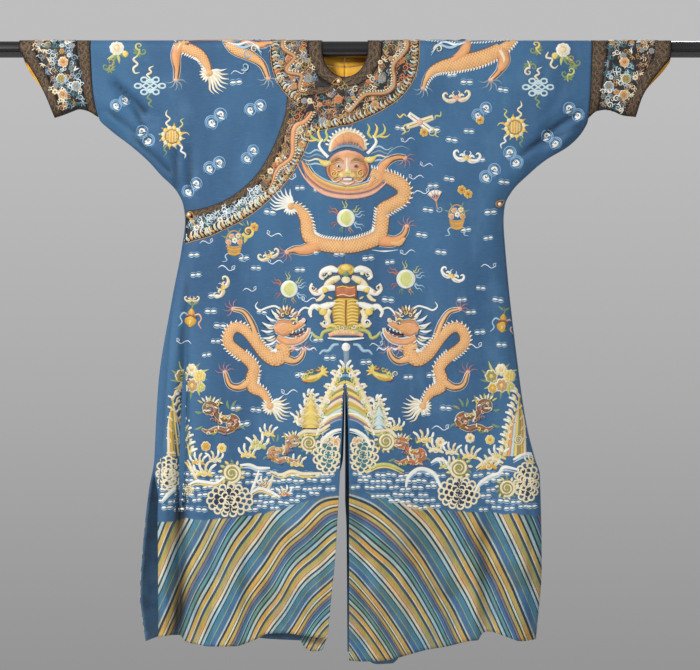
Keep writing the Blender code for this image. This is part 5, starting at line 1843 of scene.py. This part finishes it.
def mountain(work):
    """The striped peak over the slit, with foam up its sides and two great waves at its foot."""
    dyes = ("green", "teal", "sky", "teal", "yellow", "cream", "olive", "yellow", "mauve", "cream",
            "gold", "lime", "ice", "yellow", "mauve")
    middle, peak = 1, -703
    for k, floss in enumerate(dyes):
        top, reach = peak - 7.4 * k, 14 + 3.2 * k
        for hand in (-1, 1):
            work.run([(middle + hand * 0.4, top), (middle + hand * reach * 0.5, top - reach * 0.2),
                      (middle + hand * reach, top - reach * 0.56)], (8.2, 8.2, 7), floss, 1 + k % 2)
    for hand in (-1, 1):
        side = [(middle + hand * (12 + 4.5 * k), peak - 4 - 9.6 * k) for k in range(12)]
        work.run(side, (9, 12, 15, 10), "cream", 3)
        for k, place in enumerate(side):
            spot = Spot(work, place, 0, 0.94, hand)
            finger(spot, 0, 0, (74, 36, 56)[k % 3] - 1.5 * k, (9, 14, 17)[k % 3],
                   ("white", "cream")[k % 2])
            spot.curl(-4, -3, 6, 60, (4.4, 3.4, 1.6), ("yellow", "white", "lime")[k % 3], 6)
        finger(Spot(work, (middle, peak), 0, 1, hand), 4, -2, 70, 18)
    for top, reach, drop, ground in ((-802, 64, 54, "sky"), (-837, 56, 46, "teal")):
        for half in ((-84, -56, -28, -6), (6, 28, 56, 84)):
            arc = np.array([(t, c - 1) for c, t in map(way, half)])
            for inset, floss in ((8, "navy"), (13, ground)):
                inner = arc * (reach - inset, drop - inset) + (middle, top - inset)
                work.run(inner, 3.6, floss, 1)
            wave(work, arc * (reach, drop) + (middle, top), 7.6)


CRESTS = (  # of the sea: width, floss, the floss below it, and places
    (7.4, "white", "ice", (-403, -996), (-389, -980), (-374, -967), (-348, -958)),
    (8.4, "cream", "yellow", (-392, -890), (-370, -890), (-350, -905), (-339, -923), (-326, -947)),
    (7.4, "white", "yellow", (-345, -960), (-326, -952), (-304, -954), (-284, -956), (-264, -943)),
    (7.4, "white", "ice", (-231, -916), (-209, -916), (-191, -923), (-165, -923)),
    (6.6, "white", "cream", (-189, -927), (-196, -949), (-207, -976)),
    (6.6, "cream", "white", (-158, -938), (-163, -954), (-172, -971)),
    (7.4, "white", "yellow", (-209, -980), (-191, -969), (-174, -971), (-143, -987)),
    (8.0, "cream", "yellow", (-165, -930), (-141, -938), (-117, -930), (-90, -936), (-51, -934)),
    (7.4, "lime", "yellow", (46, -930), (73, -916), (99, -916), (130, -930)),
    (9.0, "white", "sky", (134, -965), (139, -943), (163, -925), (194, -934), (211, -965)),
    (7.4, "white", "sky", (189, -912), (205, -903), (222, -910), (231, -927)),
    (7.6, "white", "ice", (284, -978), (297, -956), (319, -941), (339, -934), (350, -921),
     (383, -927)),
    (7.6, "white", "ice", (370, -905), (389, -894), (407, -892), (422, -901)),
    (8.0, "cream", "yellow", (288, -923), (306, -910), (323, -901), (348, -912)),
)
LEFT_CLEAR = (  # rounds that stand in the water: middle, half width and half height
    (-253, -993, 58, 40), (251, -978, 54, 40), (400, -954, 36, 44), (356, -967, 30, 26))


def sea(work):
    """The rocks, waves and water above the stripes."""
    for place, width, height, ground in (
            ((-253, -993), 50, 34, "navy"), ((-37, -894), 31, 38, "teal"),
            ((40, -894), 31, 38, "teal"), ((251, -978), 45, 33, "navy"),
            ((400, -954), 26, 42, "navy"), ((-389, -934), 24, 36, "navy")):
        rosette(work, place, width, height, ground)
    mountain(work)
    for width, floss, inner, *points in CRESTS:
        wave(work, points, width, floss, inner)
    for place, radius, hand in (
            ((-249, -934), 24, 1), ((-79, -868), 20, -1), ((90, -864), 21, 1),
            ((251, -923), 24, -1), ((356, -967), 21, 1), ((-345, -971), 11, 1),
            ((381, -861), 12, 1), ((-361, -864), 12, -1)):
        whirl(Spot(work, place, 0, radius / 24, hand))
    wave(work, ((-108, -855), (-88, -842), (-59, -842), (-33, -828)), 9, "cream", "yellow")
    wave(work, ((42, -831), (64, -842), (95, -839), (114, -855)), 9, "cream", "lime")
    hill(Spot(work, (-75, -831)), 46, 68)
    hill(Spot(work, (75, -833)), 34, 58, "ice", "green")
    side_rock(work, (-363, -897), (-378, -765), 1)
    side_rock(work, (372, -897), (383, -760), -1)
    for place, hand, floss, size in (
            ((-279, -809), 1, "brown", 1.0), ((290, -804), -1, "brown", 1.0),
            ((-130, -879), -1, "tan", 0.86), ((139, -883), 1, "rust", 0.84)):
        small_dragon(Spot(work, place, 0, size, hand), floss)
    for place, hand, size, floss in (
            ((-310, -934), 1, 1.0, "yellow"), ((-286, -905), -1, 0.8, "cream"),
            ((-213, -894), 1, 0.9, "yellow"), ((-191, -875), -1, 1.0, "lime"),
            ((-323, -910), 1, 0.8, "gold"), ((-169, -848), 1, 0.8, "yellow"),
            ((-134, -980), -1, 0.7, "rust"), ((-178, -960), 1, 0.7, "tan"),
            ((-106, -914), 1, 0.8, "yellow"), ((-33, -866), 1, 0.7, "pink"),
            ((174, -861), -1, 0.9, "yellow"), ((200, -883), 1, 0.9, "cream"),
            ((222, -919), -1, 0.8, "lime"), ((275, -897), 1, 0.9, "yellow"),
            ((317, -919), -1, 1.0, "gold"), ((337, -897), 1, 0.9, "yellow"),
            ((235, -888), 1, 0.8, "cream"), ((112, -835), -1, 0.8, "yellow"),
            ((411, -910), 1, 0.7, "yellow"), ((156, -910), 1, 0.8, "orange"),
            ((-99, -817), -1, 0.8, "cream")):
        foam(Spot(work, place, 0, size, hand), floss)
    for place, floss in (
            ((-271, -879), "yellow"), ((-196, -870), "lime"), ((275, -857), "cream"),
            ((319, -861), "yellow"), ((-306, -875), "gold"), ((209, -866), "cream"),
            ((-20, -864), "pink"), ((26, -864), "pink")):
        flower(Spot(work, place), floss, "gold", 7, 10.5, "cream")
    draw = random.Random(11)
    for row in range(7):
        for column in range(31):
            u = -408 + 27 * column + 13 * (row % 2) + draw.uniform(-4, 4)
            z = -938 - 14.5 * row + draw.uniform(-4, 4)
            if z < -962 - 0.36 * min(abs(u), 150) or abs(u) < 22 or abs(u) > 418:
                continue
            if any(math.hypot((u - x) / wide, (z - y) / high) < 1
                   for x, y, wide, high in LEFT_CLEAR):
                continue
            cloudlet(Spot(work, (u, z), draw.uniform(-8, 8), draw.uniform(0.86, 1.1)))


# The black yoke, band and cuffs
WARM_DYES = (
    "tan", "brown", "cream", "rust", "brown", "grey_blue", "olive", "old_gold", "teal", "brown",
    "tan")


def scatter(work, places, draw, size=1.0, dyes=WARM_DYES):
    """Fills a black ground with scrolls, buds and leaves, and leaves little of it bare."""
    for place in places:
        s = Spot(work, place, draw.uniform(0, 360), size * draw.uniform(0.85, 1.2),
                 draw.choice((-1, 1)))
        kind, floss = draw.random(), draw.choice(dyes)
        if kind < 0.52:
            s.curl(0, 0, 6.6, 0, (2.4, 2.2, 1.3), floss, 1, 1.35)
            s.curl(-8, 3, 5.0, 120, (2.2, 2.0, 1.2), floss, 2, 1.1, -1)
            s.leaf(5, 2, 60, 8, 2.8, draw.choice(dyes))
        elif kind < 0.72:
            for angle in (0, 50, 100, 150):
                s.leaf(-2, 0, angle, 9.5, 3.0, floss, 1, 1)
        elif kind < 0.84:
            flower(s, floss, "old_gold", 6, 6.4, "tan")
        else:
            s.line([(-9, -2), (-3, 4), (3, -2), (9, 3)], (1.4, 2.8, 2.6, 1), floss, 1)
            s.line([(-8, -7), (-2, -2), (5, -8)], (1.2, 2.2, 1), draw.choice(dyes), 1)


def yoke_spot(face, side, turn, share):
    """(u, z) on the yoke, at an angle from the shoulder and a share of the way out to its edge."""
    x, z = ring_point(face, turn, share, False)
    return -face * side * float(x), float(z)


def scalloped(work, line, outward):
    """A foam border: small crests along a line, with a dark cord and a pale one outside them."""
    line = eased(line, 8.6)
    aside = normals(line)[1] * outward
    for k, (point, out) in enumerate(zip(line, aside)):
        inward = math.degrees(math.atan2(-out[1], -out[0]))
        s = Spot(work, point - out * 2.4, inward + 24, 0.9 + 0.2 * (k % 3))
        s.line([(-3, 0), (2, 1.4), (6, 0), (9, -4)], (4.2, 4.0, 3.0, 1.2),
               ("cream", "tan", "ice")[k % 3], 3)
        s.disc(0, 0, 2.2, ("olive", "tan", "gold")[k % 3], 6)
    work.run(line + aside * 2.6, 2.6, "black", 2)
    work.run(line + aside * 4.6, 1.5, "tan", 2)


def thin_dragon(work, body, widths, floss, side, apart, length):
    """A thin dragon's body, with spines down one side."""
    work.run(body, np.array(widths) + 2.4, "brown", 4)
    work.run(body, widths, floss, 6)
    teeth(work, body, np.array(widths) + 2, side, "cream", apart, length, 5)


def yoke_needlework(work):
    face = work.face
    draw = random.Random(23 if face == FRONT else 29)
    quarter = math.pi / 2
    for side in (1, -1):
        last = quarter if side > 0 or face == BACK else quarter * 0.50
        outer = [yoke_spot(face, side, last * k / 12, 0.93) for k in range(12, -1, -1)]
        scalloped(work, outer + [(outer[-1][0], z) for z in (10, 21, 32)], -side)
        spots = []
        for ring, share in enumerate((0.10, 0.29, 0.48, 0.67, 0.84)):
            for k in range(18):
                turn = last * min((k + 0.5 * (ring % 2)) / 17.5, 1)
                u, z = yoke_spot(face, side, turn, share + draw.uniform(-0.06, 0.06))
                spots.append((u + draw.uniform(-3, 3), z + draw.uniform(-3, 3)))
            spots += [((84 + 70 * share + draw.uniform(-4, 4)) * side, over + draw.uniform(-3, 3))
                      for over in (4, 13, 22, 31)]
        scatter(work, spots, draw)
        body = [yoke_spot(face, side, last * k / 12, 0.50 + 0.15 * math.sin(k * 1.1 + 2))
                for k in range(12, -1, -1)]
        body += [(body[-1][0] * 1.02, 14), (body[-1][0] * 0.97, 30)]
        thin_dragon(work, body, (3, 6, 7, 7, 7, 7, 7, 6), "tan", side, 6.4, 3.6)
        for k in (2, 5, 8, 11):
            foot = np.array(body[k]) + (draw.uniform(-12, 12), draw.uniform(-16, -10))
            claws(work, foot, draw.uniform(0, 360), 0.6, "tan")
        for turn, share, floss in (
                (0.12, 0.5, "rust"), (0.42, 0.25, "grey_blue"), (0.62, 0.75, "tan"),
                (0.9, 0.7, "brown")):
            if turn * quarter < last:
                place = yoke_spot(face, side, quarter * turn, share)
                flower(Spot(work, place), floss, "old_gold", 7, 10, "tan")


def band_spot(run, share):
    x, z = on_band(run, FLAP_BINDING + SEAM_GAP, None, share)
    return -float(x) - HALF_GAP, float(z)


def band_needlework(work):
    """The overlap's band: a thin dragon in scrolls, then white scrolls and a row of foam."""
    draw = random.Random(31)
    length = float(BAND_LENGTHS[-1])
    scalloped(work, [band_spot(length * k / 30, 0.93) for k in range(31)], 1)
    warm, cool = [], []
    for ring, share in enumerate((0.08, 0.27, 0.46, 0.64, 0.82)):
        for k in range(46):
            along_it = (k + 0.5 * (ring % 2) + draw.uniform(-0.2, 0.2)) / 46.5
            u, z = band_spot(length * along_it, share + draw.uniform(-0.06, 0.06))
            place = (u + draw.uniform(-2, 2), z + draw.uniform(-2, 2))
            if along_it < 0.6:
                warm.append(place)
            elif share < 0.5:
                cool.append(place)
    scatter(work, warm, draw)
    scatter(work, cool, draw, 1.0, ("ice", "white", "cloud", "grey_blue", "ice", "teal", "navy"))
    body = [band_spot(length * (0.16 + 0.42 * k / 12), 0.44 + 0.15 * math.sin(k * 1.15))
            for k in range(13)]
    thin_dragon(work, body, (5, 9, 10, 10, 9, 8, 7, 5, 3), "orange", 1, 6.0, 4.4)
    for k in (2, 5, 8, 11):
        foot = np.array(body[k]) + (draw.uniform(-12, 12), draw.choice((-1, 1)) * 15)
        claws(work, foot, draw.uniform(0, 360), 0.62, "tan")
    for k in range(19):
        place = band_spot(length * (0.63 + 0.019 * k), 0.86)
        finger(Spot(work, place, 0, 0.7), 0, 0, 100 + 8 * (k % 3), 17, "cream")
    for share, across, floss in ((0.03, 0.3, "rust"), (0.12, 0.75, "grey_blue"), (0.3, 0.8, "tan"),
                                 (0.46, 0.2, "orange"), (0.58, 0.75, "ice")):
        flower(Spot(work, band_spot(length * share, across)), floss, "old_gold", 7, 9.5, "tan")
    work.run([(-350, -366), (-339, -377), (-323, -397)], (3.4, 3, 1.8), "gold", 7)


def cuff_needlework(work):
    """The cuffs: warm foam beside the outer trim, and cool scrolls inside it."""
    face = work.face
    draw = random.Random(41 if face == FRONT else 43)
    cool = ("ice", "white", "teal", "grey_blue", "pale_blue", "teal", "old_gold", "tan")
    warm = ("cream", "tan", "grey_blue", "brown", "cream")
    for which in (LEFT, RIGHT):

        def spot(share, down):
            out = CUFF_INNER_TRIM + (CUFF_OUTER_TRIM - CUFF_INNER_TRIM) * share
            x, z = cuff_place(which, face, out, down)
            return -face * SIGN[which] * float(x), float(z)

        for shares, dyes in (
                (np.linspace(0.09, 0.66, 5), cool), (np.linspace(0.76, 0.95, 3), warm)):
            spots = [spot(share + draw.uniform(-0.04, 0.04), down + draw.uniform(-0.03, 0.03))
                     for down in np.linspace(0.03, 0.9, 9) for share in shares]
            spots += [(spot(share, 0)[0] + draw.uniform(-3, 3), over)
                      for share in shares for over in (7, 16, 25, 33)]
            scatter(work, spots, draw, 0.95, dyes)
        for share, down, floss in ((0.40, 0.22, "orange"), (0.62, 0.48, "olive"),
                                   (0.2, 0.62, "grey_blue"), (0.74, 0.72, "tan")):
            flower(Spot(work, spot(share, down)), floss, "old_gold", 7, 11, "cream")


def embroider(name, stitch, face=FRONT):
    """Makes one piece of needlework on a face of the robe."""
    work = Needlework(name, face)
    stitch(work)
    work.finish()


for face, end in ((FRONT, "_front"), (BACK, "_back")):
    for stitch in (
            chest_dragon, skirt_dragons, shoulder_dragons, clouds, emblems, centre_emblem, sea,
            yoke_needlework, cuff_needlework):
        embroider(stitch.__name__ + end, stitch, face)
embroider("band_needlework", band_needlework)


def refinish(node, finish):
    """A part whose shape is right keeps it, and gets its real finish."""
    for slot in bpy.data.objects[node].material_slots:
        slot.material = finish


refinish("rod", LACQUER)
for fastening in ("neck", "right_underarm", "left_underarm"):
    refinish("button_" + fastening, CORAL)
    refinish("loop_" + fastening, CORD)

# Soft square lamps that face the robe's middle: place and side in metres, power in watts
ROBE_MIDDLE = Vector((0.0, 0.0, -0.62))
for name, place, side, power in (
        ("key_light", (-2.6, -3.4, 1.7), 1.1, 236), ("fill_light", (3.2, -3.2, 0.3), 2.6, 52),
        ("back_light", (1.8, 4.0, 1.6), 2.2, 120)):
    light = bpy.data.lights.new(name, "AREA")
    light.shape, light.size, light.energy = "SQUARE", side, power
    lamp = bpy.data.objects.new(name, light)
    bpy.context.scene.collection.objects.link(lamp)
    lamp.location = place
    lamp.rotation_euler = (ROBE_MIDDLE - Vector(place)).to_track_quat("-Z", "Y").to_euler()

# The studio's grey surround: darker towards the floor
SURROUND = ((-9.0, 142), (-6.0, 152), (-1.0, 172), (5.0, 190), (90.0, 200))  # degrees up, grey
AMBIENT = 0.46  # of the surround's own brightness
world = bpy.data.worlds.new("studio")
bpy.context.scene.world = world
world.use_nodes = True
nodes, links = world.node_tree.nodes, world.node_tree.links
towards = nodes.new("ShaderNodeSeparateXYZ")
links.new(nodes.new("ShaderNodeTexCoord").outputs["Generated"], towards.inputs[0])
grey = nodes.new("ShaderNodeValToRGB")
while len(grey.color_ramp.elements) < len(SURROUND):
    grey.color_ramp.elements.new(1.0)
for stop, (degrees, shade) in zip(grey.color_ramp.elements, SURROUND):
    stop.position = math.sin(math.radians(degrees)) / 2 + 0.5
    stop.color = linear((shade, shade, shade + 1))
spread = nodes.new("ShaderNodeMath")
spread.operation = "MULTIPLY_ADD"
links.new(towards.outputs["Z"], spread.inputs[0])
spread.inputs[1].default_value, spread.inputs[2].default_value = 0.5, 0.5
links.new(spread.outputs[0], grey.inputs[0])
links.new(grey.outputs[0], nodes["Background"].inputs["Color"])
seen = nodes.new("ShaderNodeLightPath")
glow = nodes.new("ShaderNodeMapRange")
links.new(seen.outputs["Is Camera Ray"], glow.inputs["Value"])
glow.inputs["To Min"].default_value = AMBIENT
links.new(glow.outputs[0], nodes["Background"].inputs["Strength"])

# A finite pale floor below the robe
FLOOR_HEIGHT, FLOOR_SIZE = -1.62, 3.4
ground = bmesh.new()
bmesh.ops.create_grid(ground, x_segments=1, y_segments=1, size=FLOOR_SIZE / 2)
for corner in ground.verts:
    corner.co.z = FLOOR_HEIGHT
floor_mesh = bpy.data.meshes.new("floor")
ground.to_mesh(floor_mesh)
ground.free()
pale = Finish("pale_floor", Roughness=0.8)
paleness = pale.blend(pale.grain(300, 2.0), (196, 196, 197), (204, 204, 205))
floor_mesh.materials.append(pale.give(Base_Color=paleness))
floor = bpy.data.objects.new("floor", floor_mesh)
bpy.context.scene.collection.objects.link(floor)

camera = bpy.data.cameras.new("camera")
camera.lens, camera.sensor_width = 140.0, 36.0
viewer = bpy.data.objects.new("camera", camera)
viewer.location, viewer.rotation_euler = (0.011, -6.01, -0.6303), (math.pi / 2, 0, 0)
bpy.context.scene.collection.objects.link(viewer)
bpy.context.scene.camera = viewer
bpy.context.scene.view_settings.view_transform = "Standard"
